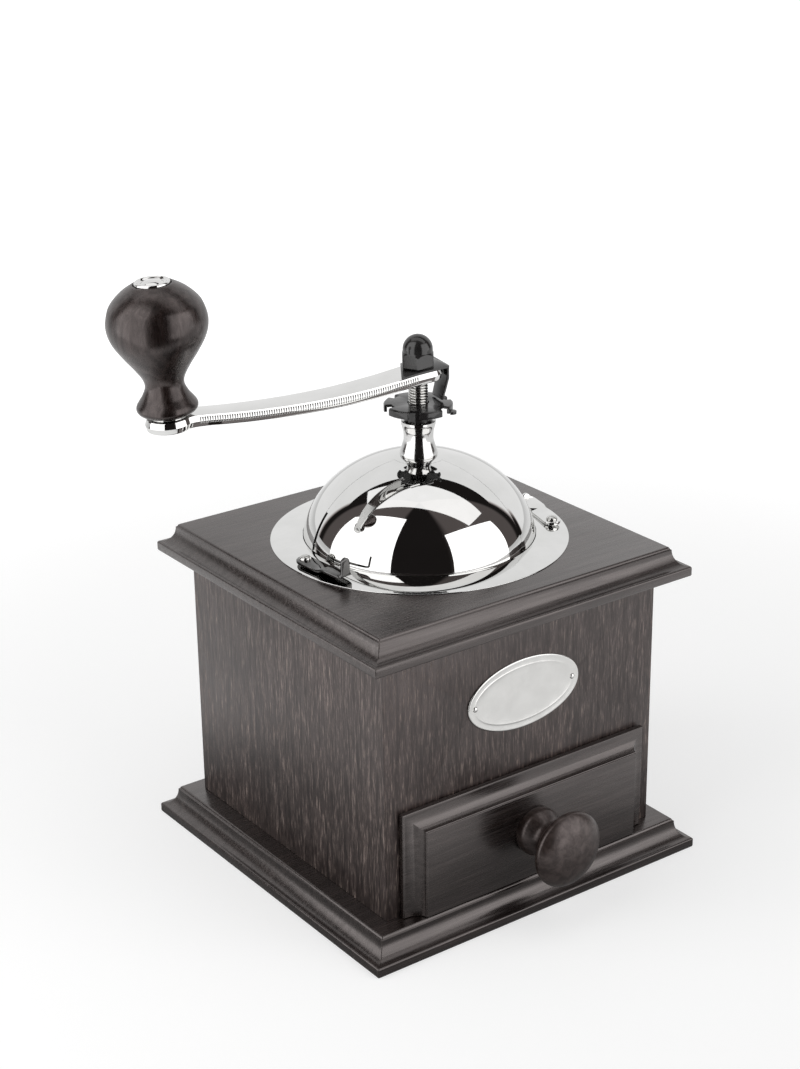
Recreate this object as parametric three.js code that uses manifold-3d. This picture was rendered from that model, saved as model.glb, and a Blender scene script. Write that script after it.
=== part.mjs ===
// Box coffee mill: a wooden case with a drawer, a domed metal hopper and a hand crank.
// Millimetres, +Z up. The origin is the centre of the base's underside and the drawer faces -Y.
import * as THREE from 'three';
import { mergeVertices } from 'three/addons/utils/BufferGeometryUtils.js';
import Module from 'manifold-3d';

const wasm = await Module();
wasm.setup();

// Fits and helpers
const slidingGap = 0.4;
const closeGap = 0.3;
const cutOverrun = 1;
const weldTolerance = 1e-4;
const roundSegments = 36;
const smallSegments = 20;
const outlineSteps = 17;
const holeSegments = 12;
const coveSteps = 6;
const cornerSteps = 8;
const headShoulderShare = 0.8;
const headShoulderRise = 0.7;

// Wooden case
const caseWidth = 109;
const wallThickness = 8;
const baseThickness = 10.4;
const caseHeight = 89.8;
const capThickness = 9.8;
const baseOverhang = 11.6;
const capOverhang = 8.6;
const mouldingRun = 5.1;
const lipHeight = 3.4;
const arris = 0.5;

// Drawer
const drawerFrontInset = 5;
const drawerFrontHeight = 36.5;
const drawerFrontDepth = 6.1;
const drawerFrontLip = 2.1;
const drawerMouldingRun = 6.3;
const drawerOverlap = 3.5;
const guideThickness = 2.2;
const guideHeight = 9;
const drawerSideThickness = 5;
const drawerFloorThickness = 3;
const drawerBackRoom = 6;
const knobAxisHeight = 16.8;
const drawerKnobLength = 21.5;
const drawerKnobRadius = 12.8;
// The turned outline as [share of the length, share of the widest radius].
const drawerKnobShares = [
  [0, 0.6], [0.05, 0.63], [0.14, 0.63], [0.22, 0.55], [0.32, 0.43], [0.42, 0.42], [0.52, 0.52],
  [0.62, 0.78], [0.69, 0.95], [0.75, 1], [0.81, 0.97], [0.89, 0.8], [0.96, 0.5], [1, 0],
];
const drawerKnobBoreShare = 0.55;

// Oval plate on the front
const plateHalfWidth = 22.4;
const plateHalfHeight = 12;
const plateThickness = 0.7;
const plateHeightShare = 0.708;
const platePinInset = 2.7;
const platePinRadius = 0.7;
const platePinLength = 6;

// Dome, door and the ring that they stand on
const domeRadius = 38.4;
const domeRise = 27.7;
const domeSink = 2.8;
const shellThickness = 0.7;
const windowStartAngle = 168.5;
const windowEndAngle = 294.5;
const windowTopRadius = 8.6;
const footBandHeight = 0.8;
const doorHubLap = 3;
const doorLapAngle = 3;
const doorRibAngle = 1.3;
const doorRibHeight = 0.4;
const flangeThickness = 1;
const footLedge = 2.1;
const collarThickness = 0.9;
const collarHeight = 0.6;
const filletRun = 1.2;
const flangeBand = 8.2;
const rivetInset = 4.7;

// Latches on the ring
const leftLatchAngle = 178.5;
const rightLatchAngle = 332.2;
const leftSwingAngle = 6;
const rightSwingAngle = 14;
const latchWidth = 5.8;
const latchThickness = 1;
const latchLength = 20.4;
const latchStep = 1;
const latchLowShare = 0.42;
const latchRampShare = 0.14;
const latchTabWidth = 4;
const leftTabHeight = 6.4;
const rightTabHeight = 1.6;
const rivetShankRadius = 1.2;
const rivetHeadRadius = 1.9;
const rivetHeadHeight = 1.3;
const rivetDepth = 6;

// Hopper bowl and grinding set
const bowlThickness = 0.9;
const bowlLipWidth = 5.4;
const bowlWallHeight = 7;
const throatRadius = 13.6;
const throatHeight = 4.8;
const burrHeight = 18;
const burrFlangeThickness = 3;
const burrFlangeWidth = 7;
const burrWall = 3.6;
const burrTeeth = 14;
const burrToothDepth = 1;
const burrTwist = 25;
const burrTaperShare = 0.62;
const grindGap = 0.6;
const bearingThickness = 3.4;
const bearingHubRadius = 6;
const bearingArmWidth = 5;
const mechanismHeadroom = 0.9;
const screwShankRadius = 1.4;
const screwHeadRadius = 2.4;
const screwHeadHeight = 1.6;

// Bridge, bearing tube and sleeve above the bowl
const bridgeWidth = 10;
const bridgeInset = 1.1;
const bridgeThickness = 2;
const bridgeAngle = 60;
const bridgeScrewRadius = 1.1;
const bridgeScrewHeadRadius = 1.9;
const bridgeScrewLength = 8;
const tubeWall = 1.5;
const tubeNeckWall = 0.9;
const tubeFootRadius = 8;
const tubeFootHeight = 3;
const tubeRestRadius = 6.5;
const tubeRestHeight = 2;
const sleeveHeight = 11.3;
const sleeveWall = 1.35;
const sleeveFootFlare = 1.3;
const sleeveTopFlare = 0.8;
// The sleeve's side as [share of its height, share of the foot's flare, share of the head's flare].
const sleeveShares = [
  [0.04, 1, 0], [0.115, 0.85, 0], [0.2, 0.62, 0], [0.285, 0.385, 0], [0.4, 0.09, 0], [0.48, 0, 0],
  [0.61, 0, 0.04], [0.715, 0, 0.21], [0.82, 0, 0.62], [0.91, 0, 0.94], [0.97, 0, 1],
];
const socketDepth = 2.6;

// Spindle and adjusting wheel
const spindleRadius = 3.2;
const spindleTail = 0.8;
const wheelRadius = 11.2;
const wheelThickness = 0.9;
const wheelHubHeight = 5.8;
const wheelHubWall = 1.1;
const wheelTabDrop = 1.5;
const wheelTabs = 6;
const wheelNotchAngle = 19;
const wheelNotchDepth = 2.4;
const wheelNotchOffset = 226.5;
const wheelEarAngle = 300;
const wheelEarReach = 2;
const wheelEarWidth = 3;

// Crank
const crankAngle = 170;
const threadGap = 7.7;
const armThickness = 3.7;
const armLength = 84.5;
const armRootReach = 8.1;
const armRootWidth = 12.6;
const armTipWidth = 9;
const padRadius = 7.3;
const armDip = 3.6;
const padDrop = 2.5;
const padSlope = 0.07;
// The arm's top line as [share of its length, share of its dip] up to the pad.
const armDipShares = [
  [0.045, 0.08], [0.1, 0.32], [0.17, 0.54], [0.27, 0.77], [0.38, 0.93], [0.53, 1], [0.69, 0.92], [0.8, 0.78],
];
const catchThickness = 0.8;
const catchReach = 1.3;
const catchFront = 6;
const catchSkew = 2.9;
const catchCorner = 2;
const catchLegWidth = 7.4;
const catchLegLean = 2;
const nutSides = 6;
const nutFlats = 10;
const nutHexHeight = 4.9;
const nutChamfer = 0.8;
const nutDomeRadius = 4.85;
const nutHeight = 10.4;
const nutCornerAngle = 234;

// Crank knob
const crankKnobHeight = 40.9;
const crankKnobRadius = 15.4;
// The turned outline as [share of the height, share of the widest radius].
const crankKnobShares = [
  [0, 0.47], [0.02, 0.56], [0.045, 0.608], [0.075, 0.6], [0.11, 0.54], [0.151, 0.465], [0.218, 0.391],
  [0.285, 0.42], [0.374, 0.562], [0.484, 0.77], [0.594, 0.94], [0.7, 1], [0.8, 0.95], [0.866, 0.86],
  [0.944, 0.65], [1, 0.405],
];
const washerThickness = 0.5;
const washerRadius = 6;
const pinRadius = 2;
const pinHeadRadius = 3.4;
const pinHeadHeight = 1;
const pinCapRadius = 5.5;
const pinCapHeight = 1.5;
const pinCapRecess = 0.7;

// Screws that hold the base to the case
const baseScrewRadius = 1.6;
const baseScrewHeadRadius = 3.2;
const baseScrewHeadHeight = 1.8;
const baseScrewGrip = 14;
const baseScrewSpreadShare = 0.55;

// Heights, from the table up
const caseHalf = caseWidth / 2;
const innerHalf = caseHalf - wallThickness;
const baseTop = baseThickness;
const caseTop = baseTop + caseHeight;
const capTop = caseTop + capThickness;
const flangeTop = capTop + flangeThickness;
const domeCentre = flangeTop - domeSink;
const domeHeight = domeRise + domeSink;
const domePole = flangeTop + domeRise;
const sleeveBottom = domePole;
const sleeveTop = sleeveBottom + sleeveHeight;
const wheelBottom = sleeveTop + closeGap;
const wheelTop = wheelBottom + wheelHubHeight;
const armBottom = wheelTop + threadGap;
const armTop = armBottom + armThickness;
const catchTop = armTop + catchThickness;
const nutTop = catchTop + nutHeight;

// Radii on the mill's axis
const spindleBore = spindleRadius + closeGap;
const tubeRadius = spindleBore + tubeWall;
const tubeNeckRadius = spindleBore + tubeNeckWall;
const tubeNeckBore = tubeNeckRadius + closeGap;
const collarInner = domeRadius + closeGap;
const collarOuter = collarInner + collarThickness;
const filletOuter = collarOuter + filletRun;
const flangeRadius = filletOuter + flangeBand;
const flangeInner = domeRadius - footLedge;
const lipRadius = flangeInner - closeGap;
const bowlRadius = lipRadius - bowlLipWidth;
const capHoleRadius = bowlRadius + closeGap;
const latchAngles = { left: leftLatchAngle, right: rightLatchAngle };
const swingAngles = { left: leftSwingAngle, right: rightSwingAngle };
const tabHeights = { left: leftTabHeight, right: rightTabHeight };
const latchRadius = flangeRadius - rivetInset;
const latchBottom = flangeTop + closeGap;
const doorOuter = shellThickness + closeGap;
const doorInner = doorOuter + shellThickness;

// Drawer places
const drawerBottomZ = baseTop + slidingGap;
const drawerFrontTop = drawerBottomZ + drawerFrontHeight;
const openingTop = drawerFrontTop - drawerOverlap;
const openingHalf = innerHalf - guideThickness;
const drawerHalf = openingHalf - slidingGap;
const drawerBoxTop = openingTop - slidingGap;
const drawerFrontHalf = caseHalf - drawerFrontInset;
const drawerFrontBack = -caseHalf - closeGap;
const drawerFieldY = drawerFrontBack - drawerFrontDepth;
const drawerRearY = innerHalf - drawerBackRoom;
const drawerKnobZ = drawerBottomZ + knobAxisHeight;

// Grinding set places
const bearingBottom = drawerFrontTop + mechanismHeadroom;
const burrBottom = bearingBottom + bearingThickness;
const burrTop = burrBottom + burrHeight;
const bowlFloor = burrTop + bowlThickness;
const burrFlangeRadius = throatRadius + bowlThickness + burrFlangeWidth;
const mechanismScrewRadius = throatRadius + bowlThickness + burrFlangeWidth / 2;
const mechanismScrewAngles = [30, 150, 270];
const bridgeTop = capTop + bowlThickness + bridgeThickness;
const bridgeHalf = lipRadius - bridgeInset;
const bridgeScrewPlace = bridgeHalf - bridgeScrewHeadRadius - closeGap;
const bridgeScrewSigns = { front: -1, back: 1 };
const sideSigns = { left: -1, right: 1 };

const materials = {
  panelWood: { color: 0x4a403b, roughness: 0.6, metalness: 0 },
  plateWood: { color: 0x3a3230, roughness: 0.5, metalness: 0 },
  turnedWood: { color: 0x33291f, roughness: 0.4, metalness: 0 },
  innerWood: { color: 0xb48a5c, roughness: 0.8, metalness: 0 },
  chrome: { color: 0xd8dadb, roughness: 0.06, metalness: 1 },
  nickel: { color: 0xc9c9c6, roughness: 0.2, metalness: 1 },
  blackSteel: { color: 0x2b2b2d, roughness: 0.35, metalness: 0.8 },
  castIron: { color: 0x4b4c4e, roughness: 0.6, metalness: 0.8 },
  steel: { color: 0x9a9c9e, roughness: 0.3, metalness: 1 },
};

const mill = new THREE.Group();
const crank = new THREE.Group();
const crankKnobGroup = new THREE.Group();
crank.rotation.z = radians(crankAngle);
mill.add(crank);
crank.add(crankKnobGroup);

function radians(degrees) {
  return (degrees * Math.PI) / 180;
}

// Only positions, with shared corners joined and empty triangles dropped.
function joined(geometry) {
  const bare = geometry.clone();
  bare.deleteAttribute('normal');
  bare.deleteAttribute('uv');
  const merged = mergeVertices(bare, weldTolerance);
  const source = merged.index.array;
  const kept = [];
  for (let i = 0; i < source.length; i += 3) {
    const corners = [source[i], source[i + 1], source[i + 2]];
    if (new Set(corners).size === 3) {
      kept.push(...corners);
    }
  }
  merged.setIndex(kept);
  return merged;
}

function solidOf(geometry) {
  const merged = joined(geometry);
  const vertProperties = new Float32Array(merged.attributes.position.array);
  const triVerts = new Uint32Array(merged.index.array);
  return new wasm.Manifold(new wasm.Mesh({ numProp: 3, vertProperties, triVerts }));
}

function geometryOf(solid) {
  const mesh = solid.getMesh();
  const geometry = new THREE.BufferGeometry();
  geometry.setAttribute('position', new THREE.BufferAttribute(mesh.vertProperties, 3));
  geometry.setIndex(new THREE.BufferAttribute(mesh.triVerts, 1));
  return geometry;
}

function place(parent, name, shape, look) {
  const geometry = shape.isBufferGeometry ? joined(shape) : geometryOf(shape);
  geometry.computeVertexNormals();
  const mesh = new THREE.Mesh(geometry, new THREE.MeshStandardMaterial(materials[look]));
  mesh.name = name;
  parent.add(mesh);
  return mesh;
}

// A body of revolution about Z. The outline is a list of [radius, height] pairs.
function turned(outline, segments = roundSegments) {
  const points = outline.map(([radius, height]) => new THREE.Vector2(radius, height));
  if (THREE.ShapeUtils.area(points) < 0) {
    points.reverse();
  }
  const onAxis = points[0].x === 0 && points.at(-1).x === 0;
  if (!onAxis) {
    points.push(points[0].clone());
  }
  return new THREE.LatheGeometry(points, segments).rotateX(Math.PI / 2);
}

// A plan outline pulled up from one height to another.
function prism(shape, bottom, top, curveSegments = cornerSteps) {
  const options = { depth: top - bottom, bevelEnabled: false, curveSegments };
  return new THREE.ExtrudeGeometry(shape, options).translate(0, 0, bottom);
}

// An outline drawn in X and Z, pulled along Y.
function frontPrism(shape, nearY, farY, curveSegments = cornerSteps) {
  const options = { depth: farY - nearY, bevelEnabled: false, curveSegments };
  return new THREE.ExtrudeGeometry(shape, options).rotateX(Math.PI / 2).translate(0, farY, 0);
}

function block(left, right, front, back, bottom, top) {
  const box = new THREE.BoxGeometry(right - left, back - front, top - bottom);
  return box.translate((left + right) / 2, (front + back) / 2, (bottom + top) / 2);
}

function rod(radius, bottom, top, segments = holeSegments) {
  const cylinder = new THREE.CylinderGeometry(radius, radius, top - bottom, segments);
  return cylinder.rotateX(Math.PI / 2).translate(0, 0, (bottom + top) / 2);
}

function polygon(points) {
  return new THREE.Shape(points.map(([x, y]) => new THREE.Vector2(x, y)));
}

// A wedge between two plan angles, from the axis or an inner radius outward.
function sector(innerRadius, outerRadius, startAngle, endAngle) {
  const shape = new THREE.Shape();
  const start = radians(startAngle);
  const end = radians(endAngle);
  shape.absarc(0, 0, outerRadius, start, end, false);
  if (innerRadius > 0) {
    shape.absarc(0, 0, innerRadius, end, start, true);
  } else {
    shape.lineTo(0, 0);
  }
  return shape;
}

// A slab built from stacked rectangles, each [left, right, bottom, top, depth].
function stackedSlab(levels) {
  const positions = [];
  for (const [left, right, bottom, top, depth] of levels) {
    positions.push(left, bottom, depth, right, bottom, depth, right, top, depth, left, top, depth);
  }
  const index = [0, 2, 1, 0, 3, 2];
  for (let level = 0; level + 1 < levels.length; level += 1) {
    for (let side = 0; side < 4; side += 1) {
      const a = level * 4 + side;
      const b = level * 4 + ((side + 1) % 4);
      index.push(a, b, b + 4, a, b + 4, a + 4);
    }
  }
  const last = (levels.length - 1) * 4;
  index.push(last, last + 1, last + 2, last, last + 2, last + 3);
  const geometry = new THREE.BufferGeometry();
  geometry.setAttribute('position', new THREE.Float32BufferAttribute(positions, 3));
  geometry.setIndex(index);
  return geometry;
}

// The edge moulding: a square lip, a hollow cove above it and a flat top.
// Returns [inset from the lip, height] pairs from the underside to the top.
function mouldingSteps(thickness, lip, run) {
  const steps = [[arris, 0], [0, arris], [0, lip - arris], [arris, lip]];
  const drop = thickness - lip;
  for (let step = 1; step < coveSteps; step += 1) {
    const turn = (Math.PI / 2) * (1 - step / coveSteps);
    steps.push([run - (run - arris) * (1 - Math.cos(turn)), lip + drop * (1 - Math.sin(turn))]);
  }
  steps.push([run, thickness - arris], [run + arris, thickness]);
  return steps;
}

function mouldedPlate(bottom, thickness, halfWidth) {
  const levels = mouldingSteps(thickness, lipHeight, mouldingRun).map(([inset, height]) => {
    const half = halfWidth - inset;
    return [-half, half, -half, half, bottom + height];
  });
  return solidOf(stackedSlab(levels));
}

// The height of an ellipsoid shell, set in by an offset, at a radius from the axis.
function shellHeight(radius, offset) {
  const rise = domeHeight - offset;
  return domeCentre + rise * Math.sqrt(1 - (radius / (domeRadius - offset)) ** 2);
}

// Points up a shell from a foot height to a pole radius.
function shellArc(offset, foot, poleRadius, steps) {
  const rise = domeHeight - offset;
  const start = Math.asin((foot - domeCentre) / rise);
  const end = Math.acos(poleRadius / (domeRadius - offset));
  return Array.from({ length: steps + 1 }, (_, step) => {
    const angle = start + ((end - start) * step) / steps;
    return [(domeRadius - offset) * Math.cos(angle), domeCentre + rise * Math.sin(angle)];
  });
}

function shell(outerOffset, innerOffset, foot, poleRadius) {
  const steps = roundSegments / 4;
  const outer = shellArc(outerOffset, foot, poleRadius, steps);
  const inner = shellArc(innerOffset, foot, poleRadius, steps);
  return solidOf(turned([...outer, ...inner.reverse()]));
}

function raised(outline, height) {
  return outline.map(([radius, z]) => [radius, z + height]);
}

// A smooth turned outline through [share of height, share of radius] pairs.
function smoothOutline(shares, height, radius) {
  const knots = shares.map(([along, out]) => new THREE.Vector2(out * radius, along * height));
  const points = new THREE.SplineCurve(knots).getPoints(outlineSteps);
  return points.map((point) => [Math.max(point.x, 0), point.y]);
}

// The rounded head of a screw, pin or rivet, from its rim to the axis.
function domedHead(radius, bottom, height) {
  return [
    [radius, bottom], [radius * headShoulderShare, bottom + height * headShoulderRise], [0, bottom + height],
  ];
}

function drilled(solid, holes) {
  return holes.reduce((left, hole) => left.subtract(solidOf(hole)), solid);
}

// Copies of one cutter or boss turned about Z.
function turnedCopies(geometry, angles) {
  return angles.map((angle) => geometry.clone().rotateZ(radians(angle)));
}

function addBase() {
  const holes = baseScrewPlaces().flatMap(([x, y]) => [
    rod(baseScrewRadius + closeGap, -cutOverrun, baseTop + cutOverrun).translate(x, y, 0),
    rod(baseScrewHeadRadius + closeGap, -cutOverrun, baseScrewHeadHeight + closeGap).translate(x, y, 0),
  ]);
  const plate = mouldedPlate(0, baseThickness, caseHalf + baseOverhang);
  place(mill, 'base_plate', drilled(plate, holes), 'plateWood');
}

function baseScrewPlaces() {
  const across = caseHalf - wallThickness / 2;
  const along = caseHalf * baseScrewSpreadShare;
  return [[-across, -along], [-across, along], [across, -along], [across, along]];
}

function addBaseScrews() {
  const tip = baseTop + baseScrewGrip - closeGap;
  const outline = [
    [0, closeGap], [baseScrewHeadRadius, closeGap], [baseScrewRadius, baseScrewHeadHeight],
    [baseScrewRadius, tip - baseScrewRadius], [0, tip],
  ];
  baseScrewPlaces().forEach(([x, y], count) => {
    place(mill, `base_screw_${count + 1}`, turned(outline, holeSegments).translate(x, y, 0), 'steel');
  });
}

// One wall of the case, mitred at both ends, on the side that the angle gives.
function caseWall(angle) {
  const plan = polygon([
    [-caseHalf, -caseHalf], [caseHalf, -caseHalf], [innerHalf, -innerHalf], [-innerHalf, -innerHalf],
  ]);
  return solidOf(prism(plan, baseTop, caseTop).rotateZ(radians(angle)));
}

function addCase() {
  const screwHoleRadius = baseScrewRadius + closeGap;
  const screwHoles = baseScrewPlaces().map(([x, y]) => {
    return rod(screwHoleRadius, baseTop - cutOverrun, baseTop + baseScrewGrip).translate(x, y, 0);
  });
  const front = -caseHalf - cutOverrun;
  const back = -innerHalf + cutOverrun;
  const opening = block(-openingHalf, openingHalf, front, back, baseTop - cutOverrun, openingTop);
  const pinHoles = platePinPlaces().map(([x, z]) => {
    const hole = rod(platePinRadius + closeGap, -cutOverrun, platePinLength + closeGap);
    return hole.rotateX(-Math.PI / 2).translate(x, -caseHalf, z);
  });
  place(mill, 'case_front_panel', drilled(caseWall(0), [opening, ...pinHoles]), 'panelWood');
  place(mill, 'case_right_side', drilled(caseWall(90), screwHoles.slice(2)), 'panelWood');
  place(mill, 'case_back_panel', caseWall(180), 'panelWood');
  place(mill, 'case_left_side', drilled(caseWall(270), screwHoles.slice(0, 2)), 'panelWood');
  for (const [side, sign] of Object.entries(sideSigns)) {
    const inner = sign * openingHalf;
    const outer = sign * innerHalf;
    const left = Math.min(inner, outer);
    const right = Math.max(inner, outer);
    const strip = block(left, right, -innerHalf, drawerRearY, baseTop, baseTop + guideHeight);
    place(mill, `drawer_guide_${side}`, strip, 'innerWood');
  }
}

function addCap() {
  const plate = mouldedPlate(caseTop, capThickness, caseHalf + capOverhang);
  const bowlHole = rod(capHoleRadius, caseTop - cutOverrun, capTop + cutOverrun, roundSegments);
  const bridgeHole = rod(bridgeScrewRadius + closeGap, capTop - bridgeScrewLength, capTop + cutOverrun);
  const rivetHole = rod(rivetShankRadius + closeGap, capTop - rivetDepth - closeGap, capTop + cutOverrun);
  const holes = [
    bowlHole,
    ...turnedCopies(bridgeHole.translate(bridgeScrewPlace, 0, 0), [bridgeAngle, bridgeAngle + 180]),
    ...turnedCopies(rivetHole.translate(latchRadius, 0, 0), Object.values(latchAngles)),
  ];
  place(mill, 'top_plate', drilled(plate, holes), 'plateWood');
}

function addDrawer() {
  const rows = mouldingSteps(drawerFrontDepth, drawerFrontLip, drawerMouldingRun);
  const levels = rows.map(([inset, depth]) => {
    const half = drawerFrontHalf - inset;
    return [-half, half, drawerBottomZ, drawerFrontTop - inset, depth];
  });
  const panel = stackedSlab(levels).rotateX(Math.PI / 2).translate(0, drawerFrontBack, 0);
  const screwHole = rod(screwShankRadius + closeGap, -drawerFrontDepth - cutOverrun, cutOverrun);
  place(mill, 'drawer_front', drilled(solidOf(panel), [toKnob(screwHole)]), 'plateWood');

  const inner = drawerHalf - drawerSideThickness;
  const backInner = drawerRearY - drawerSideThickness;
  const floorTop = drawerBottomZ + drawerFloorThickness;
  const board = (name, left, right, front, back, top) => {
    place(mill, name, block(left, right, front, back, drawerBottomZ, top), 'innerWood');
  };
  board('drawer_left_side', -drawerHalf, -inner, drawerFrontBack, drawerRearY, drawerBoxTop);
  board('drawer_right_side', inner, drawerHalf, drawerFrontBack, drawerRearY, drawerBoxTop);
  board('drawer_back', -inner, inner, backInner, drawerRearY, drawerBoxTop);
  board('drawer_bottom', -inner, inner, drawerFrontBack, backInner, floorTop);
}

// Moves a piece drawn along Z to the drawer knob's axis, pointing out of the drawer.
function toKnob(geometry) {
  return geometry.rotateX(Math.PI / 2).translate(0, drawerFieldY, drawerKnobZ);
}

function addDrawerKnob() {
  const bore = drawerKnobLength * drawerKnobBoreShare;
  const boreRadius = screwShankRadius + closeGap;
  const outside = smoothOutline(drawerKnobShares, drawerKnobLength, drawerKnobRadius);
  const knob = turned([[0, bore], [boreRadius, bore], [boreRadius, 0], ...outside], roundSegments);
  place(mill, 'drawer_knob', toKnob(knob), 'turnedWood');

  const screw = turned([
    [0, -drawerFrontDepth - screwHeadHeight], [screwHeadRadius, -drawerFrontDepth - screwHeadHeight],
    [screwHeadRadius, -drawerFrontDepth], [screwShankRadius, -drawerFrontDepth],
    [screwShankRadius, bore - screwShankRadius], [0, bore - closeGap],
  ], holeSegments);
  place(mill, 'drawer_knob_screw', toKnob(screw), 'steel');
}

function platePinPlaces() {
  const height = baseTop + caseHeight * plateHeightShare;
  const across = plateHalfWidth - platePinInset;
  return [[-across, height], [across, height]];
}

function addNamePlate() {
  const height = baseTop + caseHeight * plateHeightShare;
  const oval = new THREE.Shape();
  oval.absellipse(0, height, plateHalfWidth, plateHalfHeight, 0, 2 * Math.PI, false, 0);
  const front = -caseHalf - plateThickness;
  const blank = solidOf(frontPrism(oval, front, -caseHalf, roundSegments));
  const toFace = (geometry, x, z) => geometry.rotateX(Math.PI / 2).translate(x, front, z);
  const holes = platePinPlaces().map(([x, z]) => {
    return toFace(rod(platePinRadius + closeGap, -plateThickness - cutOverrun, cutOverrun), x, z);
  });
  place(mill, 'oval_plate', drilled(blank, holes), 'nickel');
  const pin = [
    [0, -platePinLength], [platePinRadius, -platePinLength], [platePinRadius, 0],
    ...domedHead(platePinRadius * 2, 0, platePinRadius),
  ];
  platePinPlaces().forEach(([x, z], count) => {
    const side = Object.keys(sideSigns)[count];
    place(mill, `plate_pin_${side}`, toFace(turned(pin, holeSegments), x, z), 'nickel');
  });
}

// The ring on the cap, swept up in a hollow curve to the collar round the dome's foot.
function addFlange() {
  const edge = flangeThickness / 3;
  const collarTop = flangeTop + collarHeight;
  const fillet = Array.from({ length: coveSteps + 1 }, (_, step) => {
    const turn = (Math.PI / 2) * (step / coveSteps);
    return [filletOuter - filletRun * Math.sin(turn), collarTop - collarHeight * Math.cos(turn)];
  });
  const ring = turned([
    [flangeInner, capTop], [flangeRadius - edge, capTop], [flangeRadius, capTop + edge],
    [flangeRadius, flangeTop - edge], [flangeRadius - edge, flangeTop], ...fillet,
    [collarInner, collarTop], [collarInner, flangeTop], [flangeInner, flangeTop],
  ]);
  const hole = rod(rivetShankRadius + closeGap, capTop - cutOverrun, flangeTop + cutOverrun);
  const holes = turnedCopies(hole.translate(latchRadius, 0, 0), Object.values(latchAngles));
  place(mill, 'flange_ring', drilled(solidOf(ring), holes), 'chrome');
}

// The fixed dome, with a window cut out of the side that the door closes.
function addDome() {
  const whole = shell(0, shellThickness, flangeTop, tubeNeckBore);
  const plan = sector(windowTopRadius, flangeRadius, windowStartAngle, windowEndAngle);
  const window = prism(plan, flangeTop + footBandHeight, domePole + cutOverrun, roundSegments / 2);
  place(mill, 'dome_shell', drilled(whole, [window]), 'chrome');
}

// The door under the dome: a sector of shell, a hub ring and a finger rib at one edge.
function addDoor() {
  const leaf = shell(doorOuter, doorInner, flangeTop + closeGap, tubeNeckBore);
  const bottom = flangeTop - cutOverrun;
  const top = domePole + cutOverrun;
  const leafPlan = sector(0, flangeRadius, windowStartAngle - doorLapAngle, windowEndAngle + doorLapAngle);
  const wedge = solidOf(prism(leafPlan, bottom, top, roundSegments / 2));
  const hub = solidOf(rod(windowTopRadius + doorHubLap, bottom, top, roundSegments));
  const ribFoot = flangeTop + footBandHeight + closeGap;
  const rib = shell(-doorRibHeight, doorOuter + closeGap, ribFoot, windowTopRadius * 2);
  const ribStart = windowStartAngle + doorRibAngle / 3;
  const ribWedge = solidOf(prism(sector(0, flangeRadius, ribStart, ribStart + doorRibAngle), bottom, top));
  const door = leaf.intersect(wedge.add(hub)).add(rib.intersect(ribWedge));
  place(mill, 'filler_door', door, 'chrome');
}

// A strap with a step up and an upright finger tab, drawn along X from its rivet.
function latchShape(tabHeight) {
  const half = latchWidth / 2;
  const low = latchLength * latchLowShare;
  const high = low + latchLength * latchRampShare;
  const top = latchBottom + latchStep + latchThickness;
  const side = polygon([
    [-half, latchBottom], [low, latchBottom], [high, latchBottom + latchStep],
    [latchLength, latchBottom + latchStep], [latchLength, top],
    [high, top], [low, latchBottom + latchThickness], [-half, latchBottom + latchThickness],
  ]);
  const plan = new THREE.Shape();
  plan.absarc(0, 0, half, Math.PI / 2, (3 * Math.PI) / 2, false);
  plan.lineTo(latchLength, -half);
  plan.lineTo(latchLength, half);
  const strap = solidOf(frontPrism(side, -latchWidth, latchWidth));
  const outline = solidOf(prism(plan, latchBottom - cutOverrun, top + cutOverrun));
  const tabHalf = latchTabWidth / 2;
  const tab = new THREE.Shape();
  tab.moveTo(-tabHalf, latchBottom + latchStep);
  tab.lineTo(tabHalf, latchBottom + latchStep);
  tab.absarc(0, top + tabHeight - tabHalf, tabHalf, 0, Math.PI, false);
  const tabOptions = { depth: latchThickness, bevelEnabled: false, curveSegments: cornerSteps };
  const finger = new THREE.ExtrudeGeometry(tab, tabOptions).rotateX(Math.PI / 2).rotateZ(Math.PI / 2);
  const hole = rod(rivetShankRadius + closeGap, latchBottom - cutOverrun, top + cutOverrun);
  const body = strap.intersect(outline).add(solidOf(finger.translate(latchLength - latchThickness, 0, 0)));
  return drilled(body, [hole]);
}

function addLatches() {
  const headBottom = latchBottom + latchThickness + closeGap;
  const rivet = [
    [0, capTop - rivetDepth], [rivetShankRadius, capTop - rivetDepth], [rivetShankRadius, headBottom],
    ...domedHead(rivetHeadRadius, headBottom, rivetHeadHeight),
  ];
  for (const [side, angle] of Object.entries(latchAngles)) {
    const rivetGroup = new THREE.Group();
    const x = latchRadius * Math.cos(radians(angle));
    const y = latchRadius * Math.sin(radians(angle));
    rivetGroup.position.set(x, y, 0);
    rivetGroup.rotation.z = radians(angle + swingAngles[side]) + Math.PI / 2;
    mill.add(rivetGroup);
    place(rivetGroup, `latch_${side}`, latchShape(tabHeights[side]), 'chrome');
    place(rivetGroup, `latch_rivet_${side}`, turned(rivet, smallSegments), 'steel');
  }
}

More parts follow.
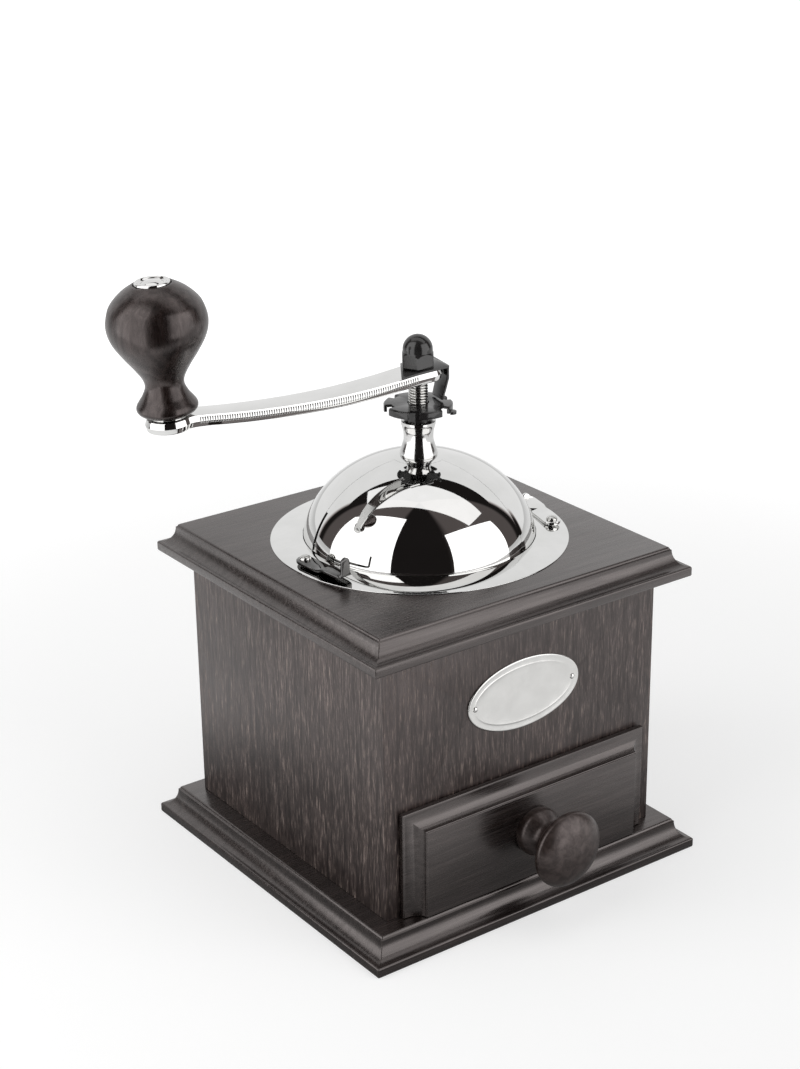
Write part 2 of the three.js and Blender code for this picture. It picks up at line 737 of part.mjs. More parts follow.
function addBowl() {
  const coneTop = capTop - bowlWallHeight;
  const coneBottom = burrTop + throatHeight;
  const lipTop = capTop + bowlThickness;
  const bowl = turned([
    [lipRadius, capTop], [lipRadius, lipTop], [bowlRadius - bowlThickness, lipTop],
    [bowlRadius - bowlThickness, coneTop], [throatRadius, coneBottom], [throatRadius, burrTop],
    [burrFlangeRadius, burrTop], [burrFlangeRadius, bowlFloor], [throatRadius + bowlThickness, bowlFloor],
    [throatRadius + bowlThickness, coneBottom], [bowlRadius, coneTop], [bowlRadius, capTop],
  ]);
  const bridgeHole = rod(bridgeScrewRadius + closeGap, capTop - cutOverrun, lipTop + cutOverrun);
  const burrHole = rod(screwShankRadius + closeGap, burrTop - cutOverrun, bowlFloor + cutOverrun);
  const holes = [
    ...turnedCopies(bridgeHole.translate(bridgeScrewPlace, 0, 0), [bridgeAngle, bridgeAngle + 180]),
    ...turnedCopies(burrHole.translate(mechanismScrewRadius, 0, 0), mechanismScrewAngles),
  ];
  place(mill, 'hopper_bowl', drilled(solidOf(bowl), holes), 'steel');
}

// A cone with slanted teeth, its crests at the two given radii.
function fluted(bottomRadius, topRadius, bottom, top, depth) {
  const layers = 4;
  const geometry = new THREE.CylinderGeometry(topRadius, bottomRadius, top - bottom, burrTeeth * 2, layers);
  const solidGeometry = joined(geometry.rotateX(Math.PI / 2).translate(0, 0, (bottom + top) / 2));
  const position = solidGeometry.attributes.position;
  const corner = new THREE.Vector3();
  for (let i = 0; i < position.count; i += 1) {
    corner.fromBufferAttribute(position, i);
    const radius = Math.hypot(corner.x, corner.y);
    if (radius > depth) {
      const tooth = Math.round((Math.atan2(corner.y, corner.x) * burrTeeth) / Math.PI);
      const share = tooth % 2 === 0 ? 1 : (radius - depth) / radius;
      const rise = (corner.z - bottom) / (top - bottom);
      corner.set(corner.x * share, corner.y * share, corner.z);
      corner.applyAxisAngle(new THREE.Vector3(0, 0, 1), radians(burrTwist) * rise);
      position.setXYZ(i, corner.x, corner.y, corner.z);
    }
  }
  return solidGeometry;
}

function addGrindingSet() {
  const ringRadius = throatRadius + burrWall;
  const flangeBottom = burrTop - burrFlangeThickness;
  const ring = solidOf(turned([
    [0, burrBottom], [ringRadius, burrBottom], [ringRadius, flangeBottom],
    [burrFlangeRadius, flangeBottom], [burrFlangeRadius, burrTop], [0, burrTop],
  ]));
  const screwHole = rod(screwShankRadius + closeGap, flangeBottom - cutOverrun, burrTop + cutOverrun);
  const boreBottom = burrBottom - cutOverrun;
  const bore = fluted(throatRadius, throatRadius, boreBottom, burrTop + cutOverrun, burrToothDepth);
  const ringHoles = turnedCopies(screwHole.translate(mechanismScrewRadius, 0, 0), mechanismScrewAngles);
  place(mill, 'burr_ring', drilled(ring, [bore, ...ringHoles]), 'castIron');

  const coneRadius = throatRadius - burrToothDepth - grindGap;
  const coneBottom = burrBottom + closeGap;
  const coneTop = burrTop - closeGap;
  const cone = fluted(coneRadius, coneRadius * burrTaperShare, coneBottom, coneTop, burrToothDepth);
  const spindleHole = rod(spindleBore, coneBottom - cutOverrun, coneTop + cutOverrun, smallSegments);
  place(mill, 'burr_cone', drilled(solidOf(cone), [spindleHole, crossPin(screwShankRadius)]), 'castIron');
  place(mill, 'burr_pin', crossPin(screwShankRadius - closeGap), 'steel');

  const screw = [
    [0, flangeBottom], [screwShankRadius, flangeBottom], [screwShankRadius, bowlFloor],
    ...domedHead(screwHeadRadius, bowlFloor, screwHeadHeight),
  ];
  mechanismScrewAngles.forEach((angle, count) => {
    const bolt = turned(screw, holeSegments).translate(mechanismScrewRadius, 0, 0).rotateZ(radians(angle));
    place(mill, `mechanism_screw_${count + 1}`, bolt, 'steel');
  });
}

// The pin across the cone and the spindle, as long as the cone is wide there.
function crossPin(radius) {
  const half = (throatRadius - burrToothDepth - grindGap) * burrTaperShare - burrToothDepth;
  const pin = rod(radius, -half, half);
  return pin.rotateY(Math.PI / 2).translate(0, 0, burrTop - burrHeight / 4);
}

function addLowerBearing() {
  const outer = throatRadius + burrWall;
  const rim = solidOf(turned([
    [throatRadius, bearingBottom], [outer, bearingBottom], [outer, burrBottom], [throatRadius, burrBottom],
  ]));
  const half = bearingArmWidth / 2;
  const arm = block(0, throatRadius + burrWall / 2, -half, half, bearingBottom, burrBottom);
  const arms = turnedCopies(arm, mechanismScrewAngles).map(solidOf);
  const hub = solidOf(rod(bearingHubRadius, bearingBottom, burrBottom, smallSegments));
  const body = arms.reduce((left, right) => left.add(right), rim.add(hub));
  const hole = rod(spindleBore, bearingBottom - cutOverrun, burrBottom + cutOverrun, smallSegments);
  place(mill, 'lower_bearing', drilled(body, [hole]), 'castIron');
}

function addBridge() {
  const half = bridgeWidth / 2;
  const bottom = bridgeTop - bridgeThickness;
  const bar = solidOf(block(-bridgeHalf, bridgeHalf, -half, half, bottom, bridgeTop));
  const round = solidOf(rod(bridgeHalf, bottom - cutOverrun, bridgeTop + cutOverrun, roundSegments));
  const boss = solidOf(rod(tubeFootRadius, bottom, bridgeTop, roundSegments));
  const screwHole = rod(bridgeScrewRadius + closeGap, bottom - cutOverrun, bridgeTop + cutOverrun);
  const holes = [
    rod(tubeRadius + closeGap, bottom - cutOverrun, bridgeTop + cutOverrun, smallSegments),
    ...turnedCopies(screwHole.translate(bridgeScrewPlace, 0, 0), [0, 180]),
  ];
  const bridge = drilled(bar.intersect(round).add(boss), holes);
  place(mill, 'top_bridge', geometryOf(bridge).rotateZ(radians(bridgeAngle)), 'steel');

  const tip = capTop - bridgeScrewLength + closeGap;
  const screw = [
    [0, tip], [bridgeScrewRadius, tip + bridgeScrewRadius], [bridgeScrewRadius, bridgeTop],
    ...domedHead(bridgeScrewHeadRadius, bridgeTop, bridgeScrewRadius),
  ];
  for (const [end, sign] of Object.entries(bridgeScrewSigns)) {
    const bolt = turned(screw, holeSegments).translate(sign * bridgeScrewPlace, 0, 0);
    place(mill, `bridge_screw_${end}`, bolt.rotateZ(radians(bridgeAngle)), 'steel');
  }
}

function addBearingTube() {
  const restTop = shellHeight(tubeRestRadius, doorInner) - closeGap;
  const spigot = bridgeTop - bridgeThickness * 2;
  const tubeTop = sleeveBottom + socketDepth - closeGap;
  const tube = turned([
    [spindleBore, spigot], [tubeRadius, spigot], [tubeRadius, bridgeTop], [tubeFootRadius, bridgeTop],
    [tubeFootRadius, bridgeTop + tubeFootHeight], [tubeRadius, bridgeTop + tubeFootHeight],
    [tubeRadius, restTop - tubeRestHeight], [tubeRestRadius, restTop - tubeRestHeight],
    [tubeRestRadius, restTop], [tubeNeckRadius, restTop], [tubeNeckRadius, tubeTop], [spindleBore, tubeTop],
  ], smallSegments);
  place(mill, 'bearing_tube', tube, 'steel');
}

function addSleeve() {
  const socketTop = sleeveBottom + socketDepth;
  const waist = spindleBore + sleeveWall;
  const foot = waist + sleeveFootFlare;
  const head = waist + sleeveTopFlare;
  const knots = sleeveShares.map(([along, footShare, headShare]) => {
    const radius = waist + footShare * sleeveFootFlare + headShare * sleeveTopFlare;
    return new THREE.Vector2(radius, sleeveBottom + sleeveHeight * along);
  });
  const outside = new THREE.SplineCurve(knots).getPoints(coveSteps * 2).map((point) => [point.x, point.y]);
  const sleeve = turned([
    [tubeNeckBore, sleeveBottom], [foot - closeGap, sleeveBottom], ...outside, [head - closeGap, sleeveTop],
    [spindleBore, sleeveTop], [spindleBore, socketTop], [tubeNeckBore, socketTop],
  ], smallSegments);
  place(mill, 'spindle_sleeve', sleeve, 'chrome');
}

function addSpindle() {
  const bottom = bearingBottom - spindleTail;
  const top = nutTop - nutCrown();
  const spindle = turned([
    [0, bottom], [spindleRadius - arris, bottom], [spindleRadius, bottom + arris],
    [spindleRadius, top - arris], [spindleRadius - arris, top], [0, top],
  ], smallSegments);
  place(mill, 'spindle', drilled(solidOf(spindle), [crossPin(screwShankRadius)]), 'steel');
}

// The closed thickness over the spindle's end inside the nut.
function nutCrown() {
  return nutHeight / 4;
}

// The adjusting wheel: a hub, a flat disc and notched edges bent down.
function addWheel() {
  const discBottom = wheelTop - wheelThickness;
  const tabBottom = discBottom - wheelTabDrop;
  const hubRadius = spindleBore + wheelHubWall;
  const disc = solidOf(turned([
    [spindleBore, wheelBottom], [hubRadius, wheelBottom], [hubRadius, discBottom],
    [wheelRadius - wheelThickness, discBottom], [wheelRadius - wheelThickness, tabBottom],
    [wheelRadius, tabBottom], [wheelRadius, wheelTop - wheelThickness / 2],
    [wheelRadius - wheelThickness / 2, wheelTop], [spindleBore, wheelTop],
  ]));
  const notchHalf = wheelNotchAngle / 2;
  const notchPlan = sector(wheelRadius - wheelNotchDepth, wheelRadius + cutOverrun, -notchHalf, notchHalf);
  const notch = prism(notchPlan, tabBottom - cutOverrun, wheelTop + cutOverrun, 2);
  const turns = Array.from({ length: wheelTabs }, (_, step) => wheelNotchOffset + (step * 360) / wheelTabs);
  const earRoot = wheelRadius - wheelThickness / 2;
  const earHalf = wheelEarWidth / 2;
  const ear = new THREE.Shape();
  ear.moveTo(earRoot, -earHalf);
  ear.absarc(wheelRadius + wheelEarReach - earHalf, 0, earHalf, -Math.PI / 2, Math.PI / 2, false);
  ear.lineTo(earRoot, earHalf);
  const earSolid = prism(ear, tabBottom, tabBottom + wheelThickness).rotateZ(radians(wheelEarAngle));
  const wheel = drilled(disc, turnedCopies(notch, turns)).add(solidOf(earSolid));
  place(mill, 'adjusting_wheel', wheel, 'blackSteel');
}

// The arm's top line: level at the spindle, dipping, then straight along the pad.
function armTopLine() {
  const knots = armDipShares.map(([along, dip]) => [along * armLength, armTop - dip * armDip]);
  const start = -armRootReach - cutOverrun;
  const padStart = armLength - padRadius;
  const padEnd = armLength + padRadius + cutOverrun;
  const padHeight = (along) => armTop - padDrop - (along - armLength) * padSlope;
  const points = [[0, armTop], ...knots, [padStart, padHeight(padStart)]];
  const curve = new THREE.SplineCurve(points.map(([x, z]) => new THREE.Vector2(x, z)));
  const bend = curve.getPoints(smallSegments).map((point) => [point.x, point.y]);
  return [[start, armTop], ...bend, [padEnd, padHeight(padEnd)]];
}

function addArm() {
  const top = armTopLine();
  const bottom = top.map(([x, z]) => [x, z - armThickness]).reverse();
  const band = solidOf(frontPrism(polygon([...top, ...bottom]), -armRootWidth, armRootWidth));
  const low = armBottom - armDip - padDrop;
  const high = armTop + cutOverrun;
  const rootHalf = armRootWidth / 2;
  const tipHalf = armTipWidth / 2;
  const rootX = rootHalf - armRootReach;
  const taper = polygon([[rootX, -rootHalf], [armLength, -tipHalf], [armLength, tipHalf], [rootX, rootHalf]]);
  const plan = solidOf(rod(rootHalf, low, high, roundSegments).translate(rootX, 0, 0))
    .add(solidOf(prism(taper, low, high)))
    .add(solidOf(rod(padRadius, low, high, roundSegments).translate(armLength, 0, 0)));
  const spindleHole = rod(spindleBore, low, high, smallSegments);
  const pinHole = toPad(rod(pinRadius + closeGap, -armThickness - cutOverrun, cutOverrun, smallSegments));
  place(crank, 'crank_arm', drilled(band.intersect(plan), [spindleHole, pinHole]), 'chrome');
}

// Moves a piece drawn on the Z axis to the middle of the sloping pad.
function toPad(geometry) {
  return geometry.rotateY(Math.atan(padSlope)).translate(armLength, 0, armTop - padDrop);
}

// The clip under the nut, with one leg that reaches down to the wheel.
function addCatch() {
  const back = -armRootReach - catchReach;
  const legHalf = catchLegWidth / 2;
  const plateHalf = armRootWidth / 2;
  const plan = polygon([
    [back, -legHalf], [back + catchCorner, -plateHalf], [catchFront - catchSkew, -plateHalf],
    [catchFront + catchSkew, plateHalf], [back + catchCorner, plateHalf], [back, legHalf],
  ]);
  const legBottom = wheelTop + closeGap * 2;
  const leg = polygon([
    [back, catchTop], [back, armBottom], [back + catchLegLean, legBottom],
    [back + catchLegLean + catchThickness, legBottom], [back + catchThickness, armBottom],
    [back + catchThickness, catchTop],
  ]);
  const body = solidOf(prism(plan, armTop, catchTop)).add(solidOf(frontPrism(leg, -legHalf, legHalf)));
  const hole = rod(spindleBore, armTop - cutOverrun, catchTop + cutOverrun, smallSegments);
  place(crank, 'wheel_catch', drilled(body, [hole]), 'blackSteel');
}

function addNut() {
  const hexRadius = nutFlats / Math.sqrt(3);
  const hexTop = catchTop + nutHexHeight;
  const hex = rod(hexRadius, catchTop, hexTop, nutSides).rotateZ(radians(nutCornerAngle + 90));
  const chamfered = turned([
    [0, catchTop], [hexRadius + cutOverrun, catchTop], [hexRadius + cutOverrun, hexTop - nutChamfer * 2],
    [nutFlats / 2, hexTop], [0, hexTop],
  ], smallSegments);
  const domeCentreZ = nutTop - nutDomeRadius;
  const crown = Array.from({ length: cornerSteps + 1 }, (_, step) => {
    const turn = (Math.PI / 2) * (step / cornerSteps);
    return [nutDomeRadius * Math.cos(turn), domeCentreZ + nutDomeRadius * Math.sin(turn)];
  });
  crown[cornerSteps][0] = 0;
  const domeFoot = hexTop - nutChamfer;
  const dome = turned([[0, domeFoot], [nutDomeRadius, domeFoot], ...crown], smallSegments);
  const bore = rod(spindleBore, catchTop - cutOverrun, nutTop - nutCrown() + closeGap, smallSegments);
  const body = solidOf(hex).intersect(solidOf(chamfered)).add(solidOf(dome));
  place(mill, 'acorn_nut', drilled(body, [bore]), 'blackSteel');
}

function addCrankKnob() {
  crankKnobGroup.position.set(armLength, 0, armTop - padDrop);
  crankKnobGroup.rotation.y = Math.atan(padSlope);
  const bore = pinRadius + closeGap;
  const washer = [[bore, 0], [washerRadius, 0], [washerRadius, washerThickness], [bore, washerThickness]];
  place(crankKnobGroup, 'knob_washer', turned(raised(washer, closeGap), smallSegments), 'steel');

  const bottom = washerThickness + closeGap * 2;
  const top = bottom + crankKnobHeight;
  const outside = smoothOutline(crankKnobShares, crankKnobHeight, crankKnobRadius);
  const recess = pinCapRadius + closeGap;
  const recessFloor = top - pinCapRecess;
  const knob = turned([
    [bore, bottom], ...raised(outside, bottom), [recess, top], [recess, recessFloor], [bore, recessFloor],
  ]);
  place(crankKnobGroup, 'crank_knob', knob, 'turnedWood');

  const headTop = -armThickness - closeGap;
  const capBottom = recessFloor + closeGap;
  const capSide = capBottom + pinCapRecess;
  const pin = [
    [0, headTop - pinHeadHeight], [pinHeadRadius * headShoulderShare, headTop - pinHeadHeight],
    [pinHeadRadius, headTop], [pinRadius, headTop], [pinRadius, capBottom], [pinCapRadius, capBottom],
    ...domedHead(pinCapRadius, capSide, pinCapHeight - pinCapRecess),
  ];
  place(crankKnobGroup, 'knob_pin', turned(pin, smallSegments), 'chrome');
}

addBase();
addBaseScrews();
addCase();
addCap();
addDrawer();
addDrawerKnob();
addNamePlate();
addFlange();
addDome();
addDoor();
addLatches();
addBowl();
addGrindingSet();
addLowerBearing();
addBridge();
addBearingTube();
addSleeve();
addSpindle();
addWheel();
addArm();
addCatch();
addNut();
addCrankKnob();

export default mill;
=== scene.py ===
import math
from math import cos, pi, radians, sin, sqrt

import bmesh
import bpy
from mathutils import Matrix, Vector


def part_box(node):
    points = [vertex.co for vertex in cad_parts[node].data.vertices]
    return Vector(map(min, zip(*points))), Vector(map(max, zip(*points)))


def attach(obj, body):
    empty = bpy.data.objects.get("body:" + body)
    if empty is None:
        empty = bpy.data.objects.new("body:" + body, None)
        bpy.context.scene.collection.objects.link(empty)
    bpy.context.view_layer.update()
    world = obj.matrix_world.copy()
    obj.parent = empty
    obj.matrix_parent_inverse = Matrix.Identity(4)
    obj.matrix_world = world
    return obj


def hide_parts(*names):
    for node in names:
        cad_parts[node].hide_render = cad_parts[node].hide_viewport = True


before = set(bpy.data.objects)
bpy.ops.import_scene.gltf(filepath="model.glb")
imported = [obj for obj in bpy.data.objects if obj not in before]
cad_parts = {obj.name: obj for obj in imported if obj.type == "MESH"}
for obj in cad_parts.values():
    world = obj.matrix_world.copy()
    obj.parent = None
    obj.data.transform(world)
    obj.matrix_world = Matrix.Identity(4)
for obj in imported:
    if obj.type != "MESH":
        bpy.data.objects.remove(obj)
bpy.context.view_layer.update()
mm = 0.001  # sizes below are in millimetres unless a note says otherwise
tiny = 1e-6  # a difference that counts as none
ringSheet = 1.0  # from the cap up to the level where the dome, the door and the latches start
chamfer = 0.3  # share of an eased edge where its middle point lies


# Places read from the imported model

def nodeBox(name):
    low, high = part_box(name)
    return low / mm, high / mm


def centreOf(name):
    low, high = nodeBox(name)
    return (low + high) / 2


def heights(name):
    low, high = nodeBox(name)
    return low.z, high.z


capFoot, capTop = heights("top_plate")
catchFoot, catchTop = heights("wheel_catch")
frontLow, frontHigh = nodeBox("drawer_front")
ringTop = capTop + ringSheet


def addObject(name, data):
    item = bpy.data.objects.new(name, data)
    bpy.context.scene.collection.objects.link(item)
    return item


def spin(degrees, axis="Z"):
    return Matrix.Rotation(radians(degrees), 4, axis)


def axes(side, up, back):
    return Matrix((side, up, back)).transposed().to_4x4()


def quarter(steps, first=1):
    # the turns of a quarter circle, in equal steps
    return [pi / 2 * step / steps for step in range(first, steps + 1)]


# The camera, solved from the square base, the cap, the ring and the dome

cameraSetup = dict(
    azimuth=-35.92,  # degrees, 0 looks along +Y
    elevation=22.05,
    roll=-0.75,
    distance=703.2,
    aimRight=-6.39,
    aimHeight=110.34,
    focalPixels=2139.8,  # on the long side of the frame
    longSidePixels=1069,
    sensor=36.0,
    nearest=0.01,  # metres, as is the furthest
    furthest=50,
)


def makeCamera(setup):
    az, el, roll = (radians(setup[key]) for key in ("azimuth", "elevation", "roll"))
    back = Vector((sin(az) * cos(el), -cos(az) * cos(el), sin(el)))
    right = Vector((cos(az), sin(az), 0))
    up = back.cross(right)
    rolledRight = right * cos(roll) + up * sin(roll)
    rolledUp = up * cos(roll) - right * sin(roll)
    aim = right * setup["aimRight"] + Vector((0, 0, setup["aimHeight"]))
    place = aim + back * setup["distance"]
    data = bpy.data.cameras.new("photoCamera")
    data.sensor_width = setup["sensor"]
    data.lens = setup["sensor"] * setup["focalPixels"] / setup["longSidePixels"]
    data.clip_start = setup["nearest"]
    data.clip_end = setup["furthest"]
    camera = addObject("photoCamera", data)
    camera.matrix_world = Matrix.Translation(place * mm) @ axes(rolledRight, rolledUp, back)
    bpy.context.scene.camera = camera


makeCamera(cameraSetup)
bpy.context.scene.view_settings.view_transform = "Standard"
print("camera placed")


# Node tree helpers

class Graph:
    def __init__(self, tree):
        self.tree = tree
        self.tree.nodes.clear()

    def add(self, kind, inputs=None, **settings):
        node = self.tree.nodes.new(kind)
        for key, value in settings.items():
            setattr(node, key, value)
        for key, value in (inputs or {}).items():
            self.plug(node.inputs[key], value)
        return node

    def plug(self, socket, value):
        if isinstance(value, bpy.types.Node):
            value = value.outputs[0]
        if isinstance(value, bpy.types.NodeSocket):
            self.tree.links.new(value, socket)
        else:
            socket.default_value = value

    def maths(self, operation, first, second):
        return self.add("ShaderNodeMath", {0: first, 1: second}, operation=operation)

    def times(self, first, second):
        return self.maths("MULTIPLY", first, second)

    def ramp(self, factor, ends, first, last):
        node = self.add("ShaderNodeValToRGB", {0: factor})
        for element, position, colour in zip(node.color_ramp.elements, ends, (first, last)):
            element.position = position
            element.color = colour
        return node

    def span(self, value, start, end, first, last, curve="LINEAR"):
        inputs = {0: value, 1: start, 2: end, 3: first, 4: last}
        return self.add("ShaderNodeMapRange", inputs, interpolation_type=curve)

    def mix(self, factor, first, second, blend="MIX"):
        inputs = {0: factor, 6: first, 7: second}
        return self.add("ShaderNodeMix", inputs, data_type="RGBA", blend_type=blend).outputs[2]

    def between(self, factor, first, second):
        return self.add("ShaderNodeMix", {0: factor, 2: first, 3: second})

    def noise(self, coordinates, scale, detail, roughness, distortion=0.0):
        inputs = {"Vector": coordinates, "Scale": scale, "Detail": detail, "Roughness": roughness,
                  "Distortion": distortion}
        return self.add("ShaderNodeTexNoise", inputs)

    def bump(self, strength, distance, height):
        return self.add("ShaderNodeBump", {"Strength": strength, "Distance": distance, "Height": height})

    def place(self, stretch=(1, 1, 1), shift=(0, 0, 0)):
        spot = self.add("ShaderNodeTexCoord").outputs["Object"]
        return self.add("ShaderNodeMapping", {"Vector": spot, "Location": shift, "Scale": stretch})


def opaque(colour):
    return (*colour, 1)


def grey(level):
    return (level, level, level, 1)


def startMaterial(name):
    material = bpy.data.materials.new(name)
    material.use_nodes = True
    return material, Graph(material.node_tree)


def principled(graph, inputs):
    graph.add("ShaderNodeOutputMaterial", {"Surface": graph.add("ShaderNodeBsdfPrincipled", inputs)})


# Stained wood: grain runs along one axis, with paler open pores and a satin lacquer. Depths are in metres

woodLook = dict(
    stainBand=(0.36, 0.66), patchBand=(0.42, 0.62), patchLow=0.25, cloudBand=(0.3, 0.7),
    roughBand=(0.3, 0.7), smoother=0.05, rougher=0.08, sheenBand=(0.4, 0.62), bandHeight=0.4,
    bumpDepth=0.0002, fineShift=(0.37, 0.11, 0.23), poreStrength=0.5, roughness=0.26, ior=1.5, gloss=0.95,
    shorter=1.6,
)


def woodMaterial(name, ownLook, grainAxis):
    look = {**woodLook, **ownLook}
    material, graph = startMaterial(name)
    grain = "XYZ".index(grainAxis)
    stretch = [look["acrossGrain"]] * 3
    finer = [look["acrossGrain"] * look["finerTimes"]] * 3
    stretch[grain] = look["alongGrain"]
    finer[grain] = look["alongGrain"] * look["shorter"]
    band = graph.noise(graph.place(stretch), 1.0, detail=4, roughness=0.6, distortion=0.5)
    lines = graph.noise(graph.place(finer, look["fineShift"]), 1.0, detail=3, roughness=0.6, distortion=0.15)
    cloud = graph.noise(graph.place(), look["cloudScale"], detail=2, roughness=0.5)
    stain = graph.ramp(band, look["stainBand"], opaque(look["dark"]), opaque(look["light"]))
    pores = graph.ramp(lines, look["poreBand"], grey(0), grey(1))
    patch = graph.ramp(band, look["patchBand"], grey(look["patchLow"]), grey(1))
    poreMask = graph.times(graph.times(pores, patch), look["poreStrength"])
    coloured = graph.mix(poreMask, stain, opaque(look["pore"]))
    depth = look["cloudDepth"]
    shade = graph.ramp(cloud, look["cloudBand"], grey(1 - depth), grey(1 + depth))
    height = graph.maths("SUBTRACT", graph.times(band, look["bandHeight"]), poreMask)
    rough, gloss = look["roughness"], look["gloss"]
    principled(graph, {
        "Base Color": graph.mix(1.0, coloured, shade, "MULTIPLY"),
        "Roughness": graph.span(lines, *look["roughBand"], rough - look["smoother"], rough + look["rougher"]),
        "Normal": graph.bump(look["bump"], look["bumpDepth"], height),
        "IOR": look["ior"],
        "Specular IOR Level": graph.span(band, *look["sheenBand"], gloss * look["dull"], gloss),
        "Specular Tint": opaque(look["tint"]),
    })
    return material


panelLook = dict(
    dark=(0.0075, 0.0046, 0.0042), light=(0.035, 0.0245, 0.0222), pore=(0.30, 0.235, 0.205),
    poreBand=(0.52, 0.66), poreStrength=0.66, roughness=0.36, gloss=0.85, alongGrain=60, acrossGrain=700,
    finerTimes=3.2, cloudScale=28, cloudDepth=0.3, bump=0.5, shorter=3.4, tint=(1.0, 0.9, 0.885), dull=0.8,
)
plateLook = dict(
    dark=(0.0055, 0.0036, 0.0033), light=(0.0135, 0.0094, 0.0085), pore=(0.08, 0.06, 0.052),
    poreBand=(0.57, 0.8), poreStrength=0.45, ior=1.6, alongGrain=30, acrossGrain=520, finerTimes=3.4,
    cloudScale=22, cloudDepth=0.25, bump=0.1, tint=(1.0, 0.91, 0.89), dull=0.85,
)
turnedLook = dict(
    dark=(0.0035, 0.0018, 0.0015), light=(0.012, 0.0066, 0.0054), pore=(0.05, 0.032, 0.025),
    poreBand=(0.6, 0.8), poreStrength=0.35, alongGrain=60, acrossGrain=420, finerTimes=3.0, cloudScale=60,
    cloudDepth=0.2, bump=0.14, tint=(1.0, 0.875, 0.855), dull=0.7,
)
drawerKnobLook = dict(
    turnedLook, dark=(0.012, 0.0075, 0.0065), light=(0.033, 0.0225, 0.0195), roughness=0.32,
)
beechLook = dict(
    dark=(0.40, 0.24, 0.12), light=(0.56, 0.37, 0.20), pore=(0.27, 0.14, 0.06), poreBand=(0.6, 0.75),
    roughness=0.6, ior=1.45, gloss=0.35, alongGrain=40, acrossGrain=380, finerTimes=3.2, cloudScale=20,
    cloudDepth=0.08, bump=0.3, tint=(1.0, 1.0, 1.0), dull=0.8,
)


# Metals. Depths are in metres here too

metalLook = dict(
    smudgeBand=(0.35, 0.65), roughBand=(0.3, 0.7), grainDepth=0.0001, metallic=1.0, gloss=0.5, bump=0,
)


def metalMaterial(name, ownLook):
    look = {**metalLook, **ownLook}
    material, graph = startMaterial(name)
    place = graph.place()
    smudge = graph.noise(place, look["smudgeScale"], detail=3, roughness=0.6)
    inputs = {
        "Base Color": graph.ramp(smudge, look["smudgeBand"], opaque(look["dark"]), opaque(look["light"])),
        "Roughness": graph.span(smudge, *look["roughBand"], look["smooth"], look["rough"]),
        "Metallic": look["metallic"],
        "Specular IOR Level": look["gloss"],
    }
    if look["bump"]:
        grain = graph.noise(place, look["grainScale"], detail=2, roughness=0.6)
        inputs["Normal"] = graph.bump(look["bump"], look["grainDepth"], grain)
    principled(graph, inputs)
    return material


chromeLook = dict(
    dark=(0.69, 0.69, 0.68), light=(0.735, 0.733, 0.725), smooth=0.018, rough=0.045, smudgeScale=90,
)
sleeveChromeLook = dict(
    dark=(0.6, 0.598, 0.59), light=(0.66, 0.657, 0.65), smooth=0.09, rough=0.15, smudgeScale=160,
)
# the left latch's chrome, darkened: its low colour paints a dark reflection onto the latch (painted
# reflection)
paintedDarkLatchChromeLook = dict(
    dark=(0.085, 0.084, 0.083), light=(0.15, 0.148, 0.146), smooth=0.06, rough=0.12, smudgeScale=140,
)
nickelLook = dict(
    dark=(0.66, 0.655, 0.64), light=(0.72, 0.715, 0.7), smooth=0.16, rough=0.24, smudgeScale=160, bump=0.12,
    grainScale=900,
)
blackLook = dict(
    dark=(0.012, 0.0113, 0.0113), light=(0.022, 0.0207, 0.0207), smooth=0.12, rough=0.2, metallic=0.1,
    gloss=0.65, smudgeScale=260, bump=0.1, grainScale=1500,
)
ironLook = dict(
    dark=(0.10, 0.10, 0.105), light=(0.20, 0.20, 0.205), smooth=0.45, rough=0.62, metallic=0.9,
    smudgeScale=320, bump=0.6, grainScale=1400,
)
steelLook = dict(
    dark=(0.48, 0.475, 0.46), light=(0.64, 0.635, 0.62), smooth=0.13, rough=0.22, smudgeScale=240, bump=0.1,
    grainScale=1200,
)

panelWoodUp = woodMaterial("panelWoodUp", panelLook, "Z")
plateWoodAcross = woodMaterial("plateWoodAcross", plateLook, "X")
turnedWoodUp = woodMaterial("turnedWoodUp", turnedLook, "Z")
turnedWoodOut = woodMaterial("turnedWoodOut", drawerKnobLook, "Y")
beechAcross = woodMaterial("beechAcross", beechLook, "X")
beechBack = woodMaterial("beechBack", beechLook, "Y")
polishedChrome = metalMaterial("polishedChrome", chromeLook)
paintedDarkLatchChrome = metalMaterial("paintedDarkLatchChrome", paintedDarkLatchChromeLook)
sleeveChrome = metalMaterial("sleeveChrome", sleeveChromeLook)
brightNickel = metalMaterial("brightNickel", nickelLook)
blackSteel = metalMaterial("blackSteel", blackLook)
castIron = metalMaterial("castIron", ironLook)
turnedSteel = metalMaterial("turnedSteel", steelLook)
print("materials made")


# Mesh helpers

def finishPiece(name, mesh, body, material, stands=(), smoothBelow=35):
    mesh.name = name
    mesh.materials.clear()
    mesh.materials.append(material)
    piece = addObject(name, mesh)
    mesh.polygons.foreach_set("use_smooth", [True] * len(mesh.polygons))
    mesh.set_sharp_from_angle(angle=radians(smoothBelow))
    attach(piece, body)
    if stands:
        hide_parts(*stands)


def meshFrom(points, edges=(), faces=(), place=Matrix()):
    mesh = bpy.data.meshes.new("mesh")
    mesh.from_pydata([Vector(point) * mm for point in points], edges, faces)
    mesh.transform(place)
    return mesh


def cleaned(mesh, normals=True):
    work = bmesh.new()
    work.from_mesh(mesh)
    bmesh.ops.remove_doubles(work, verts=work.verts, dist=tiny)
    if normals:
        bmesh.ops.recalc_face_normals(work, faces=work.faces)
    work.to_mesh(mesh)
    work.free()
    return mesh


